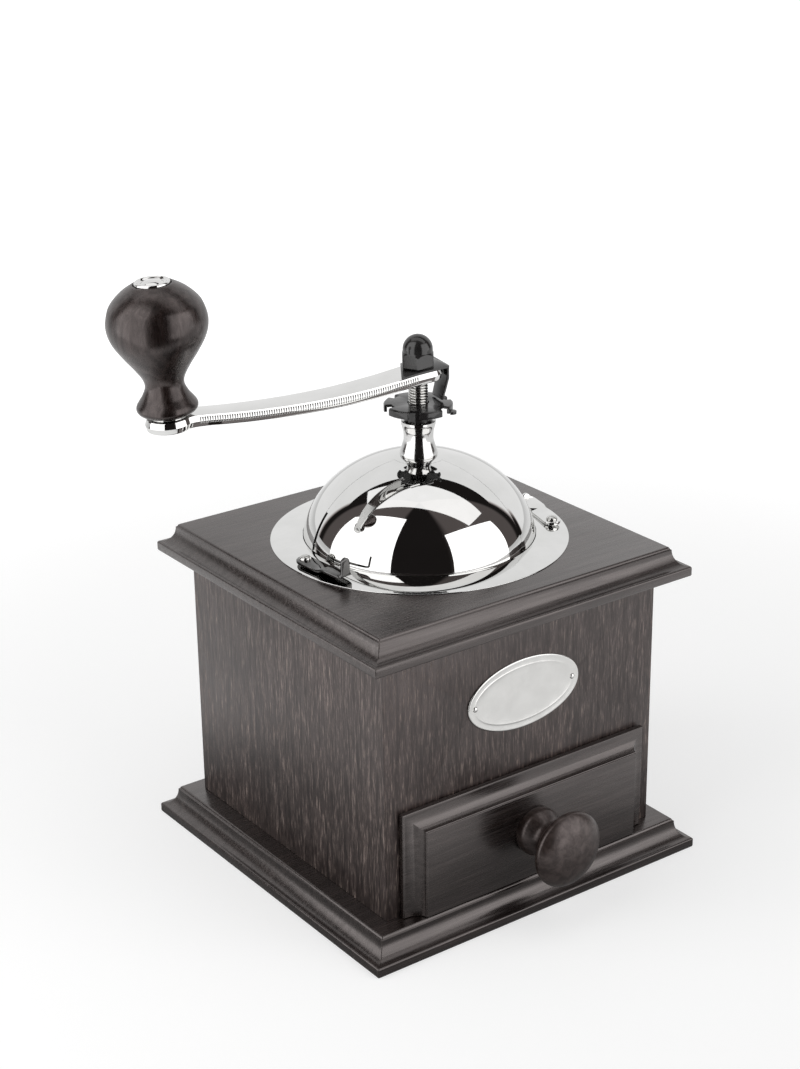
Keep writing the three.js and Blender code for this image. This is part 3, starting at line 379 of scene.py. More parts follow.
def loftMesh(loops, place=Matrix(), joined=False, caps=None):
    # a skin over loops of points, joined into a round or closed by a cap at both ends
    count, levels = len(loops[0]), len(loops)
    points = [point for loop in loops for point in loop]
    faces = []
    for level in range(levels if joined else levels - 1):
        low, high = level * count, (level + 1) % levels * count
        for step in range(count):
            after = (step + 1) % count
            faces.append([low + step, low + after, high + after, high + step])
    if not joined:
        last = len(points) - count
        for cap in caps or [list(range(count))]:
            faces += [cap[::-1], [corner + last for corner in cap]]
    return cleaned(meshFrom(points, faces=faces, place=place))


def turnedMesh(outline, segments=96, place=Matrix()):
    # outline: (radius, height) pairs, from axis to axis, or a loop that closes on itself
    turns = [2 * pi * step / segments for step in range(segments)]
    loops = [[(radius * cos(turn), radius * sin(turn), height) for turn in turns]
             for radius, height in outline]
    return loftMesh(loops, place, joined=max(outline[0][0], outline[-1][0]) > tiny)


def rodMesh(radius, bottom, top, segments=48, place=Matrix()):
    return turnedMesh([(0, bottom), (radius, bottom), (radius, top), (0, top)], segments, place)


def hermite(first, last, leave, arrive, t):
    return ((2 * t ** 3 - 3 * t ** 2 + 1) * first + (t ** 3 - 2 * t ** 2 + t) * leave
            + (-2 * t ** 3 + 3 * t ** 2) * last + (t ** 3 - t ** 2) * arrive)


def neighbours(knots, index):
    # the knots before, at, after and beyond this one, held at the ends
    return [knots[min(max(index + move, 0), len(knots) - 1)] for move in (-1, 0, 1, 2)]


def spline(knots, steps):
    # Catmull-Rom through (x, y) pairs, the same rule that shaped the turned solids
    points = []
    last = len(knots) - 1
    for step in range(steps + 1):
        at = step / steps * last
        index = min(int(at), last - 1)
        x, y = (hermite(p1, p2, (p2 - p0) / 2, (p3 - p1) / 2, at - index)
                for p0, p1, p2, p3 in zip(*neighbours(knots, index)))
        points.append((max(x, 0), y))
    return points


def arc(centreX, centreY, radius, start, end, steps):
    turns = [radians(start + (end - start) * step / steps) for step in range(steps + 1)]
    return [(centreX + radius * cos(turn), centreY + radius * sin(turn)) for turn in turns]


def refinedCopy(node, name, body, material, edge, smoothBelow=35):
    # a node's own shape, with its doubles merged, flat faces joined and edges eased
    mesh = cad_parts[node].data.copy()
    cleaned(mesh, normals=False)
    work = bmesh.new()
    work.from_mesh(mesh)
    bmesh.ops.dissolve_limit(work, angle_limit=radians(1), verts=work.verts, edges=work.edges)
    if edge:
        bend = radians(smoothBelow)
        sharp = [e for e in work.edges if e.is_manifold and e.calc_face_angle(0) > bend]
        bmesh.ops.bevel(work, geom=sharp, offset=edge * mm, segments=3, profile=0.5, affect="EDGES",
                        clamp_overlap=True)
    bmesh.ops.triangulate(work, faces=[face for face in work.faces if len(face.verts) > 4])
    work.to_mesh(mesh)
    work.free()
    finishPiece(name, mesh, body, material, [node], smoothBelow)


def cutWith(mesh, cutters):
    # takes the cutters out of the mesh, and gives a new plain mesh
    main = addObject("cutWork", mesh)
    helpers = [main]
    for index, cutter in enumerate(cutters):
        helpers.append(addObject(f"cutter{index}", cutter))
        modifier = main.modifiers.new(f"cut{index}", "BOOLEAN")
        modifier.object = helpers[-1]
        modifier.operation = "DIFFERENCE"
        modifier.solver = "EXACT"
    result = bpy.data.meshes.new_from_object(main.evaluated_get(bpy.context.evaluated_depsgraph_get()))
    for helper in helpers:
        bpy.data.objects.remove(helper)
    return result


def joinedMesh(*meshes):
    work = bmesh.new()
    for mesh in meshes:
        work.from_mesh(mesh)
    result = bpy.data.meshes.new("mesh")
    work.to_mesh(result)
    work.free()
    return result


# Moulded plates: a rounded lip, a hollow cove and an eased top edge on each side

mouldingLook = dict(
    foot=0.5, lip=3.4, run=5.1, lipRound=0.7, lipTurn=78, topRound=1.1, topIn=0.35, topDrop=0.95,
    corner=0.35, coveSteps=14, roundSteps=5,
)
plateCuts = dict(bowlHole=30.9, screwHead=3.5, screwRecess=2.1, over=1.0)


def mouldingOutline(thickness, look):
    # (inset, height) pairs from the underside to the flat top
    foot, small, steps = look["foot"], look["lipRound"], look["roundSteps"]
    topIn = look["topRound"] * look["topIn"]
    topDrop = look["topRound"] * look["topDrop"]
    outline = [(foot, 0.0), (foot * chamfer, foot * chamfer), (0.0, foot)]
    outline += [(small - x, look["lip"] - small + y) for x, y in arc(0, 0, small, 0, look["lipTurn"], steps)]
    startX, startY = outline[-1]
    endX, endY = look["run"] - topIn, thickness - topDrop
    outline += [(startX + (endX - startX) * sin(turn), startY + (endY - startY) * (1 - cos(turn)))
                for turn in quarter(look["coveSteps"])]
    topOut = look["topRound"] - topIn
    outline += [(look["run"] + topOut * (1 - cos(turn)), thickness - topDrop * (1 - sin(turn)))
                for turn in quarter(steps)]
    return outline


def roundedSquare(half, corner, steps=3):
    inner = half - corner
    points = []
    for index, (sx, sy) in enumerate([(1, 1), (-1, 1), (-1, -1), (1, -1)]):
        start = 90 * index
        points += [(sx * inner + x, sy * inner + y) for x, y in arc(0, 0, corner, start, start + 90, steps)]
    return points


def makePlate(node, cutters):
    low, high = nodeBox(node)
    loops = [[(x, y, low.z + height) for x, y in roundedSquare(high.x - inset, mouldingLook["corner"])]
             for inset, height in mouldingOutline(high.z - low.z, mouldingLook)]
    mesh = cutWith(loftMesh(loops), cutters)
    finishPiece(f"{node}_wood", mesh, "case", plateWoodAcross, [node], 32)


def screwRecess(index):
    spot = centreOf(f"base_screw_{index}")
    place = Matrix.Translation((spot.x * mm, spot.y * mm, 0))
    return rodMesh(plateCuts["screwHead"], -plateCuts["over"], plateCuts["screwRecess"], 32, place)


baseScrews = range(1, 5)
over = plateCuts["over"]
makePlate("base_plate", [screwRecess(index) for index in baseScrews])
makePlate("top_plate", [rodMesh(plateCuts["bowlHole"], capFoot - over, capTop + over, 96)])
print("moulded plates made")

for body, material, edge, nodes in [
    ("case", panelWoodUp, 0.3, ["case_front_panel", "case_right_side", "case_back_panel", "case_left_side"]),
    ("case", beechBack, 0.25, ["drawer_guide_left", "drawer_guide_right"]),
    ("drawer", beechBack, 0.3, ["drawer_left_side", "drawer_right_side"]),
    ("drawer", beechAcross, 0.3, ["drawer_back"]),
    ("drawer", beechBack, 0.3, ["drawer_bottom"]),
]:
    for node in nodes:
        refinedCopy(node, f"{node}_wood", body, material, edge)
print("case and drawer boards made")


# Drawer front: the same moulding on the left, the right and the top

drawerLook = dict(mouldingLook, lip=2.1, run=6.3, lipRound=0.45, topRound=0.5)


def makeDrawerFront():
    left, right, bottom, top = frontLow.x, frontHigh.x, frontLow.z, frontHigh.z
    loops = []
    for inset, height in mouldingOutline(frontHigh.y - frontLow.y, drawerLook):
        y = frontHigh.y - height
        loops.append([(left + inset, y, bottom), (right - inset, y, bottom), (right - inset, y, top - inset),
                      (left + inset, y, top - inset)])
    finishPiece("drawer_front_wood", loftMesh(loops), "drawer", plateWoodAcross, ["drawer_front"], 32)


makeDrawerFront()


# Turned knobs. The outlines are (share of the length, share of the widest radius), and the pin's the
# other way round

knobLook = dict(
    drawerShares=[
        (0, 0.6), (0.05, 0.63), (0.14, 0.63), (0.22, 0.55), (0.32, 0.43), (0.42, 0.42), (0.52, 0.52),
        (0.62, 0.78), (0.69, 0.95), (0.75, 1), (0.81, 0.97), (0.89, 0.8), (0.96, 0.5), (1, 0),
    ],
    crankShares=[
        (0, 0.47), (0.02, 0.56), (0.045, 0.608), (0.075, 0.6), (0.11, 0.54), (0.151, 0.465), (0.218, 0.391),
        (0.285, 0.42), (0.374, 0.562), (0.484, 0.77), (0.594, 0.94), (0.7, 1), (0.8, 0.95), (0.866, 0.86),
        (0.944, 0.65), (1, 0.405),
    ],
    drawerLength=21.5, drawerRadius=12.8, crankHeight=40.9, crankRadius=15.4, crankFoot=1.1, recess=0.7,
    recessEdge=(0.25, 0.15), steps=72,
)
pinLook = dict(
    foot=[(0, -5.0), (2.2, -5.0), (3.1, -4.6), (3.4, -4.0), (2.0, -4.0)], radius=2.0, capRadius=5.5,
    capHeight=1.5, capEdge=(0.3, 0.25), gap=0.3,
    capShares=[
        (1, 0), (0.985, 0.3), (0.95, 0.52), (0.9, 0.6), (0.85, 0.5), (0.79, 0.1), (0.74, -0.25),
        (0.69, -0.38), (0.63, -0.3), (0.55, 0.05), (0.44, 0.5), (0.3, 0.82), (0.15, 0.97),
    ],
)
armPlace = dict(turn=170.0, length=84.5, slope=0.07, padHeight=165.0)


def padMatrix():
    # from the knob's own axis to the pad at the arm's end
    lean = Matrix.Rotation(math.atan(armPlace["slope"]), 4, "Y")
    out = Matrix.Translation((armPlace["length"] * mm, 0, armPlace["padHeight"] * mm))
    return spin(armPlace["turn"]) @ out @ lean


def makeDrawerKnob(look):
    wide, long = look["drawerRadius"], look["drawerLength"]
    shares = [(out * wide, along * long) for along, out in look["drawerShares"]]
    middle = centreOf("drawer_knob").z
    place = Matrix.Translation((0, frontLow.y * mm, middle * mm)) @ spin(90, "X")
    mesh = turnedMesh([(0, 0)] + spline(shares, look["steps"]), 112, place)
    finishPiece("drawer_knob_wood", mesh, "drawer", turnedWoodOut, ["drawer_knob"], 60)


def makeCrankKnob(look, pin):
    foot, height = look["crankFoot"], look["crankHeight"]
    top = foot + height
    recessFloor = top - look["recess"]
    shares = [(out * look["crankRadius"], foot + along * height) for along, out in look["crankShares"]]
    wide = pin["capRadius"] + pin["gap"]
    flare, drop = look["recessEdge"]
    outline = [(0, foot)] + spline(shares, look["steps"])
    outline += [(wide + flare, top), (wide, top - drop), (wide, recessFloor), (0, recessFloor)]
    mesh = turnedMesh(outline, 128, padMatrix())
    finishPiece("crank_knob_wood", mesh, "knob", turnedWoodUp, ["crank_knob"], 60)

    crownFoot = recessFloor + pin["gap"]
    rise = pin["capHeight"] - look["recess"]
    crown = [(pin["capRadius"] * out, crownFoot + look["recess"] + rise * up) for out, up in pin["capShares"]]
    crown[-1] = (0, crown[-1][1])
    inset, lift = pin["capEdge"]
    outline = pin["foot"] + [(pin["radius"], crownFoot), (pin["capRadius"] - inset, crownFoot)]
    outline += [(pin["capRadius"], crownFoot + lift)] + crown
    mesh = turnedMesh(outline, 72, padMatrix())
    finishPiece("knob_pin_metal", mesh, "crank", polishedChrome, ["knob_pin"], 40)


makeDrawerKnob(knobLook)
makeCrankKnob(knobLook, pinLook)
print("knobs turned")


# Dome and door: exact ellipsoid shells with their edges on grid lines. Turns are in degrees

shellLook = dict(
    radius=38.4, centre=108.2, rise=30.5, thickness=0.08, gap=0.02, poleRadius=4.7, windowStart=168.5,
    windowEnd=294.5, windowBottom=111.8, windowTop=8.6, lap=3.0, hubLap=3.0, ribAngle=0.8, ribHeight=0.3,
    ribTop=124.0, ribRows=40, columns=288, rows=72, feather=3.0,
    featherSteps=(2.4, 1.9, 1.4, 1, 0.7, 0.4, 0.2, 0), featherUp=0.9, thinned=0.9, keptRate=8, keptFrom=20,
)


def shellPoint(offset, turn, angle):
    # offset may be a rule of turn and angle
    look = shellLook
    if callable(offset):
        offset = offset(math.degrees(turn), angle)
    radius = (look["radius"] - offset) * cos(angle)
    height = look["centre"] + (look["rise"] - offset) * sin(angle)
    return radius * cos(turn), radius * sin(turn), height


def angleAtHeight(height, offset=0.0):
    return math.asin((height - shellLook["centre"]) / (shellLook["rise"] - offset))


def angleAtRadius(radius, offset=0.0):
    return math.acos(radius / (shellLook["radius"] - offset))


def spaced(marks, step):
    # values between the marks, at most a step apart, that hold every mark
    values = []
    for first, second in zip(marks, marks[1:]):
        count = max(1, math.ceil((second - first) / step - tiny))
        values += [first + (second - first) * index / count for index in range(count)]
    return values + [marks[-1]]


def shellMesh(columns, rows, keep, outer, inner, closed=True):
    # keep(column, row) says which grid cells belong; columns are in degrees, rows in radians
    count = len(columns) - 1
    points, index, faces, cells = [], {}, [], {}
    square = [(0, 0), (1, 0), (1, 1), (0, 1)]

    def corner(column, row, layer):
        key = (column % count if closed else column, row, layer)
        if key not in index:
            index[key] = len(points)
            points.append(shellPoint(outer if layer else inner, radians(columns[key[0]]), rows[row]))
        return index[key]

    for column in range(count):
        for row in range(len(rows) - 1):
            middle = ((columns[column] + columns[column + 1]) / 2, (rows[row] + rows[row + 1]) / 2)
            if keep(*middle):
                cells[column, row] = [(column + right, row + up) for right, up in square]
    for (column, row), corners in cells.items():
        quad = [corner(*spot, 0) for spot in corners]
        faces += [quad[::-1], [corner(*spot, 1) for spot in corners]]
        for side, (aside, above) in enumerate([(0, -1), (1, 0), (0, 1), (-1, 0)]):
            other = ((column + aside) % count if closed else column + aside, row + above)
            if other not in cells:
                start, end = corners[side], corners[(side + 1) % 4]
                faces.append([corner(*end, 1), corner(*start, 1), corner(*start, 0), corner(*end, 0)])
    return cleaned(meshFrom(points, faces=faces))


def makeDome(look):
    step = 360 / look["columns"]
    start, end = look["windowStart"], look["windowEnd"]
    soft, thick = look["feather"], look["thickness"]
    columns = spaced([start, end, end + 3 * soft, start + 360 - 3 * soft], step)
    columns += [start + 360 - soft * share for share in look["featherSteps"]]
    foot = angleAtHeight(ringTop)
    pole = angleAtRadius(look["poleRadius"])
    bottom = angleAtHeight(look["windowBottom"])
    top = angleAtRadius(look["windowTop"])
    rows = spaced([foot, bottom, top, pole], (pole - foot) / look["rows"])
    ribTop = angleAtHeight(look["ribTop"])

    def feathered(turn, angle):
        # the shell thins away beside the window, all but the low left edge
        aside = min(abs(turn - end), abs(turn - start - 360), abs(turn - start))
        if start < turn < end:
            aside = 0
        along = math.degrees(max(0.0, angle - top, bottom - angle)) * look["featherUp"]
        share = max(0.0, 1 - math.hypot(aside * cos(angle), along) / soft)
        kept = 0.0
        if turn > end + look["keptFrom"] or turn <= start:
            kept = max(0.0, min(1.0, (ribTop - angle) * look["keptRate"]))
        return thick * look["thinned"] * share * share * (3 - 2 * share) * (1 - kept)

    def fixedPart(turn, angle):
        return not (start < turn < end and bottom < angle < top)

    mesh = shellMesh(columns, rows, fixedPart, feathered, thick)
    finishPiece("dome_metal", mesh, "case", polishedChrome, ["dome_shell"], 40)

    outer = thick + look["gap"]
    lap = look["lap"]
    columns = spaced([start - lap, end + lap, start - lap + 360], step)
    foot = angleAtHeight(ringTop + look["gap"], outer)
    pole = angleAtRadius(look["poleRadius"], outer)
    hub = angleAtRadius(look["windowTop"] + look["hubLap"], outer)
    rows = spaced([foot, hub, pole], (pole - foot) / look["rows"])

    def doorPart(turn, angle):
        return start - lap < turn < end + lap or angle > hub

    mesh = shellMesh(columns, rows, doorPart, outer, outer + thick)
    finishPiece("door_metal", mesh, "door", polishedChrome, ["filler_door"], 40)

    ribStart = start + look["ribAngle"] / 3
    ribFoot = angleAtHeight(look["windowBottom"] + look["gap"], outer)
    columns = spaced([ribStart, ribStart + look["ribAngle"]], look["ribAngle"] / 4)
    rows = spaced([ribFoot, ribTop], (ribTop - ribFoot) / look["ribRows"])
    mesh = shellMesh(columns, rows, lambda turn, angle: True, -look["ribHeight"],
                     outer + look["gap"], closed=False)
    finishPiece("door_rib_metal", mesh, "door", polishedChrome, [], 30)


makeDome(shellLook)
print("dome and door made")


# The ring sweeps up from the cap to the dome's foot

ringLook = dict(
    inner=36.3, outer=49.0, edge=0.14, edgeHeight=0.3, edgeTurn=84, foot=38.35, footRise=1.6, footSteps=6,
    coneStart=39.2, coneRise=1.57, coneSteps=12, bend=-0.3,
)


def turnedPiece(node, outline, material, segments, smoothBelow):
    mesh = turnedMesh(outline, segments)
    finishPiece(f"{node}_metal", mesh, "case", material, [node], smoothBelow)


def bent(start, end, steps, bend):
    # the way from one point to another, straight where bend is nothing
    points = []
    for share in [step / steps for step in range(1, steps + 1)]:
        risen = share * (1 - bend) + share * share * bend
        points.append((start[0] + (end[0] - start[0]) * share, start[1] + (end[1] - start[1]) * risen))
    return points


def makeRing(look):
    low, edge, inner = capTop, look["edge"], look["inner"]
    top, start = low + look["edgeHeight"], look["outer"] - edge
    cone, foot = (look["coneStart"], low + look["coneRise"]), (look["foot"], low + look["footRise"])
    outline = [(inner, low)] + arc(start, low + edge, edge, -90, 0, 4)
    outline += arc(start, top - edge, edge, 0, look["edgeTurn"], 5)
    outline += bent((start, top), cone, look["coneSteps"], look["bend"])
    outline += bent(cone, foot, look["footSteps"], 1)
    turnedPiece("flange_ring", outline + [(look["foot"], top), (inner, top)], polishedChrome, 192, 30)


makeRing(ringLook)

for node, material, body, edge, smooth in [
    ("adjusting_wheel", blackSteel, "wheel", 0.22, 40),
    ("top_bridge", turnedSteel, "case", 0.2, 40),
    ("burr_ring", castIron, "case", 0, 30),
    ("burr_cone", castIron, "crank", 0, 30),
    ("lower_bearing", castIron, "case", 0.3, 40),
]:
    refinedCopy(node, f"{node}_metal", body, material, edge, smooth)


# Turned metal on the mill's axis. The sleeve's shares: of the length, of the foot's flare, of the top's

sleeveLook = dict(
    waist=4.85, footFlare=1.3, topFlare=0.8, bore=4.7, upperBore=3.5, socket=2.6, steps=72,
    shares=[
        (-0.03, 0.95, 0), (-0.01, 0.99, 0), (0.04, 1, 0), (0.115, 0.85, 0), (0.2, 0.62, 0),
        (0.285, 0.385, 0), (0.4, 0.09, 0), (0.48, 0, 0), (0.61, 0, 0.04), (0.715, 0, 0.21), (0.82, 0, 0.62),
        (0.91, 0, 0.94), (1.0, 0, 1),
    ],
)


def makeSleeve(look):
    low, high = heights("spindle_sleeve")
    shares = [(look["waist"] + foot * look["footFlare"] + head * look["topFlare"], low + (high - low) * along)
              for along, foot, head in look["shares"]]
    shoulder = low + look["socket"]
    outline = spline(shares, look["steps"])
    outline += [(look["upperBore"], high), (look["upperBore"], shoulder), (look["bore"], shoulder),
                (look["bore"], low)]
    turnedPiece("spindle_sleeve", outline, sleeveChrome, 128, 40)


makeSleeve(sleeveLook)

bowlLook = dict(
    lip=36.0, bowl=30.6, sheet=0.9, wall=7.0, throat=13.6, throatRise=4.8, foot=21.5, bend=1.2,
)


def makeBowl(look):
    floorTop = heights("hopper_bowl")[0]
    sheet, bend, throat = look["sheet"], look["bend"], look["throat"]
    inner = look["bowl"] - sheet
    coneTop = capTop - look["wall"]
    coneFoot = floorTop + look["throatRise"]
    lipTop = capTop + sheet
    outline = [(look["lip"], lipTop)] + arc(inner + bend, lipTop - bend, bend, 90, 180, 6)
    outline += [(inner, coneTop), (throat, coneFoot), (throat, floorTop), (look["foot"], floorTop)]
    outline += [(look["foot"], floorTop + sheet), (throat + sheet, floorTop + sheet)]
    outline += [(throat + sheet, coneFoot), (look["bowl"], coneTop), (look["bowl"], capTop)]
    outline.append((look["lip"], capTop))
    turnedPiece("hopper_bowl", outline, turnedSteel, 128, 35)


makeBowl(bowlLook)

tubeLook = dict(
    bore=3.5, radius=5.0, neck=4.4, foot=8.0, footRise=3.0, footEdge=0.4, rest=6.5, restRise=2.0,
    restGap=0.3, door=1.7,
)


def makeTube(look):
    low, high = heights("bearing_tube")
    bore, radius, foot, rest = look["bore"], look["radius"], look["foot"], look["rest"]
    bridgeTop = heights("top_bridge")[1]
    footTop = bridgeTop + look["footRise"]
    reach = shellLook["radius"] - look["door"]
    domeRise = (shellLook["rise"] - look["door"]) * sqrt(1 - (rest / reach) ** 2)
    restTop = shellLook["centre"] + domeRise - look["restGap"]
    restFoot = restTop - look["restRise"]
    edge = look["footEdge"]
    outline = [(bore, low), (radius, low), (radius, bridgeTop), (foot, bridgeTop), (foot, footTop - edge)]
    outline += [(foot - edge, footTop), (radius, footTop), (radius, restFoot), (rest, restFoot)]
    outline += [(rest, restTop), (look["neck"], restTop), (look["neck"], high), (bore, high)]
    turnedPiece("bearing_tube", outline, turnedSteel, 96, 35)


makeTube(tubeLook)
print("turned metal made")


# Geometry Nodes helpers

class GeometryGraph(Graph):
    def __init__(self, name, sizes):
        super().__init__(bpy.data.node_groups.new(name, "GeometryNodeTree"))
        face = self.tree.interface
        face.new_socket("Geometry", in_out="INPUT", socket_type="NodeSocketGeometry")
        self.sockets = {}
        for label, value in sizes.items():
            kind = "NodeSocketInt" if isinstance(value, int) else "NodeSocketFloat"
            self.sockets[label] = face.new_socket(label, in_out="INPUT", socket_type=kind)
        face.new_socket("Geometry", in_out="OUTPUT", socket_type="NodeSocketGeometry")
        self.group = self.add("NodeGroupInput")
        self.sizes = sizes

    def size(self, label):
        return self.group.outputs[label]

    def vector(self, x=0.0, y=0.0, z=0.0):
        return self.add("ShaderNodeCombineXYZ", {0: x, 1: y, 2: z})

    def moved(self, geometry, **places):
        inputs = {key.capitalize(): value for key, value in places.items()}
        return self.add("GeometryNodeTransform", {"Geometry": geometry, **inputs})

    def rod(self, radius, depth, sides):
        inputs = {"Vertices": sides, "Radius": self.size(radius), "Depth": self.size(depth)}
        return self.add("GeometryNodeMeshCylinder", inputs)

    def gather(self, socket, parts):
        for part in parts:
            self.plug(socket, part)

    def finish(self, geometry, material):
        realised = self.add("GeometryNodeRealizeInstances", {0: geometry})
        painted = self.add("GeometryNodeSetMaterial", {"Geometry": realised, "Material": material})
        self.add("NodeGroupOutput", {0: painted})

    def grow(self, start=None):
        # runs the tree once and gives its result back as a plain mesh
        holder = addObject("grower", start or bpy.data.meshes.new("grower"))
        modifier = holder.modifiers.new("grow", "NODES")
        modifier.node_group = self.tree
        for label, value in self.sizes.items():
            modifier[self.sockets[label].identifier] = value
        holder.update_tag()
        evaluated = holder.evaluated_get(bpy.context.evaluated_depsgraph_get())
        mesh = bpy.data.meshes.new_from_object(evaluated)
        bpy.data.objects.remove(holder)
        return mesh


# The spindle: a plain core with a rolled thread between the wheel and the arm

spindleLook = dict(
    radius=3.2, core=2.75, arris=0.4, threadBelow=1.0, threadInArm=3.0, pitch=0.92, ridgeRadius=0.44,
    ridgeSteps=8, turnSteps=48,
)


def makeSpindle(look):
    low, high = heights("spindle")
    start = heights("adjusting_wheel")[1] - look["threadBelow"]
    end = heights("crank_arm")[0] + look["threadInArm"]
    radius, thin, edge = look["radius"], look["core"], look["arris"]
    outline = [(0, low), (radius - edge, low), (radius, low + edge), (radius, start), (thin, start)]
    outline += [(thin, end), (radius, end), (radius, high - edge), (radius - edge, high), (0, high)]
    core = turnedMesh(outline, 64)
    graph = GeometryGraph("rolledThread", {
        "Radius": thin * mm, "Ridge Radius": look["ridgeRadius"] * mm, "Length": (end - start) * mm,
        "Turns": (end - start) / look["pitch"], "Bottom": start * mm, "Steps": look["turnSteps"],
        "Ridge Steps": look["ridgeSteps"],
    })
    spiral = graph.add("GeometryNodeCurveSpiral", {
        "Resolution": graph.size("Steps"), "Rotations": graph.size("Turns"), "Height": graph.size("Length"),
        "Start Radius": graph.size("Radius"), "End Radius": graph.size("Radius")})
    ridge = graph.add("GeometryNodeCurvePrimitiveCircle", {
        "Resolution": graph.size("Ridge Steps"), "Radius": graph.size("Ridge Radius")})
    swept = graph.add("GeometryNodeCurveToMesh", {"Curve": spiral, "Profile Curve": ridge, "Fill Caps": True})
    graph.finish(graph.moved(swept, translation=graph.vector(z=graph.size("Bottom"))), turnedSteel)
    mesh = joinedMesh(core, graph.grow())
    finishPiece("spindle_steel", mesh, "crank", turnedSteel, ["spindle"], 50)


makeSpindle(spindleLook)


# Strips of bent sheet: stations along the strip carry its width and its slant

def stripMesh(stations, thickness, edge, place):
    # station: x, z, half width and, where it has one, slant; y runs across the strip
    half, ease, count = thickness / 2, edge * chamfer, len(stations)
    across = Vector((0, 1, 0))
    loops = []
    for index, station in enumerate(stations):
        x, z, wide, slant = (*station, 0)[:4]
        before, after = stations[max(index - 1, 0)], stations[min(index + 1, count - 1)]
        along = Vector((after[0] - before[0], 0, after[1] - before[1])).normalized()
        out = along.cross(across)
        wide = max(wide, edge * 1.1)
        lower = [(wide - edge, -half), (wide - ease, ease - half), (wide, edge - half)]
        right = lower + [(y, -rise) for y, rise in lower[::-1]]
        section = right + [(-y, rise) for y, rise in right[::-1]]
        loops.append([Vector((x, 0, z)) + across * y + out * rise + along * slant * (y / wide)
                      for y, rise in section])
    return loftMesh(loops, place)


latchLook = dict(
    width=5.8, sheet=1.0, length=20.0, step=1.0, rampStart=8.8, rampEnd=11.6, rampRun=2.0,
    tabWidth=3.2, bend=0.9, bendRun=2.2, narrowed=0.97, edge=0.22, clearance=0.4,
    rivetCircle=44.3,
    # the left latch wears the darkened chrome, a painted dark reflection; the right one wears the plain
    # chrome
    left=dict(angle=178.5, swing=6.0, tabHeight=6.2, metal=paintedDarkLatchChrome),
    right=dict(angle=332.2, swing=14.0, tabHeight=1.9, metal=polishedChrome),
)


def latchStations(look, tabHeight):
    half, tab, length, bend = look["width"] / 2, look["tabWidth"] / 2, look["length"], look["bend"]
    start, end = look["rampStart"], look["rampEnd"]
    low = ringTop + look["clearance"] + look["sheet"] / 2
    high = low + look["step"]
    stations = [(-half * cos(turn), low, half * sin(turn)) for turn in quarter(8, 0)]
    stations += [(start * share, low, half) for share in (0.25, 0.5, 0.75, 1)]
    stations += [((start + end) / 2, (low + high) / 2, half), (end, high, half),
                 (end + look["rampRun"], high, half),
                 (length - bend * look["bendRun"], high, half * look["narrowed"])]
    for turn in quarter(5):
        x, z = length - bend * (1 - sin(turn)), high + bend * (1 - cos(turn))
        stations.append((x, z, half + (tab - half) * turn / (pi / 2)))
    top = high + tabHeight - tab
    stations.append((length, top, tab))
    return stations + [(length, top + tab * sin(turn), tab * cos(turn)) for turn in quarter(8)]


def makeLatch(name, look):
    side = look[name]
    out = Matrix.Translation((look["rivetCircle"] * mm, 0, 0))
    mesh = stripMesh(latchStations(look, side["tabHeight"]), look["sheet"],
                     look["edge"], spin(side["angle"]) @ out @ spin(side["swing"] + 90))
    finishPiece(f"latch_{name}_metal", mesh, f"{name}_latch", side["metal"], [f"latch_{name}"], 42)


for name in ("left", "right"):
    makeLatch(name, latchLook)
print("spindle and latches made")


# The crank arm: a dipping bar with a taper in plan, a pad at its end and fine ribs on its bulged sides

armLook = dict(
    knots=[
        (-10.0, 168.0), (-4.0, 167.75), (0.0, 167.45), (4.0, 167.0), (8.5, 166.35), (14.5, 165.6),
        (23.0, 164.75), (32.0, 164.15), (45.0, 163.88), (58.0, 164.15), (66.5, 164.6), (74.0, 165.15),
        (79.0, 165.35), (84.5, 165.0), (93.0, 164.4),
    ],
    thickness=3.7, rootRadius=6.3, rootReach=8.1, tipHalf=4.5, padRadius=7.3, fillet=5.0, filletRun=1.6,
    swell=0.9, edge=0.4, edgeShares=[(1, 0), (0.35, 0.12), (0.1, 0.45), (0, 1)], bulge=0.45, roundSteps=14,
    barSteps=90, spindleHole=(3.5, 150, 175), pinHole=(2.3, -8, 4), hatchPitch=0.8, hatchStart=3.0,
    hatchEnd=76.0, hatchRadius=0.27, hatchRise=1.9, hatchDepth=0.42, hatchIn=0.55, hatchSides=8,
    railSteps=120,
)
armTurn = spin(armPlace["turn"])


def armHeight(x):
    knots = armLook["knots"]
    last = len(knots) - 2
    index = next((number for number in range(last) if x <= knots[number + 1][0]), last)
    p0, p1, p2, p3 = neighbours(knots, index)
    run = p2[0] - p1[0]
    leave = (p2[1] - p0[1]) / (p2[0] - p0[0]) * run
    arrive = (p3[1] - p1[1]) / (p3[0] - p1[0]) * run
    return hermite(p1[1], p2[1], leave, arrive, (x - p1[0]) / run)


def armHalfWidth(x):
    look, length = armLook, armPlace["length"]
    root = look["rootRadius"] - look["rootReach"]
    if x < root:
        return sqrt(max(look["rootRadius"] ** 2 - (x - root) ** 2, 0))
    pad = sqrt(max(look["padRadius"] ** 2 - (x - length) ** 2, 0))
    if x > length:
        return pad
    taper = look["rootRadius"] + (look["tipHalf"] - look["rootRadius"]) * (x - root) / (length - root)
    start = length - look["padRadius"] - look["fillet"]
    swell = max(0.0, min(1.0, (x - start) / (look["fillet"] * look["filletRun"])))
    return max(taper, pad, taper + look["swell"] * swell ** 2)


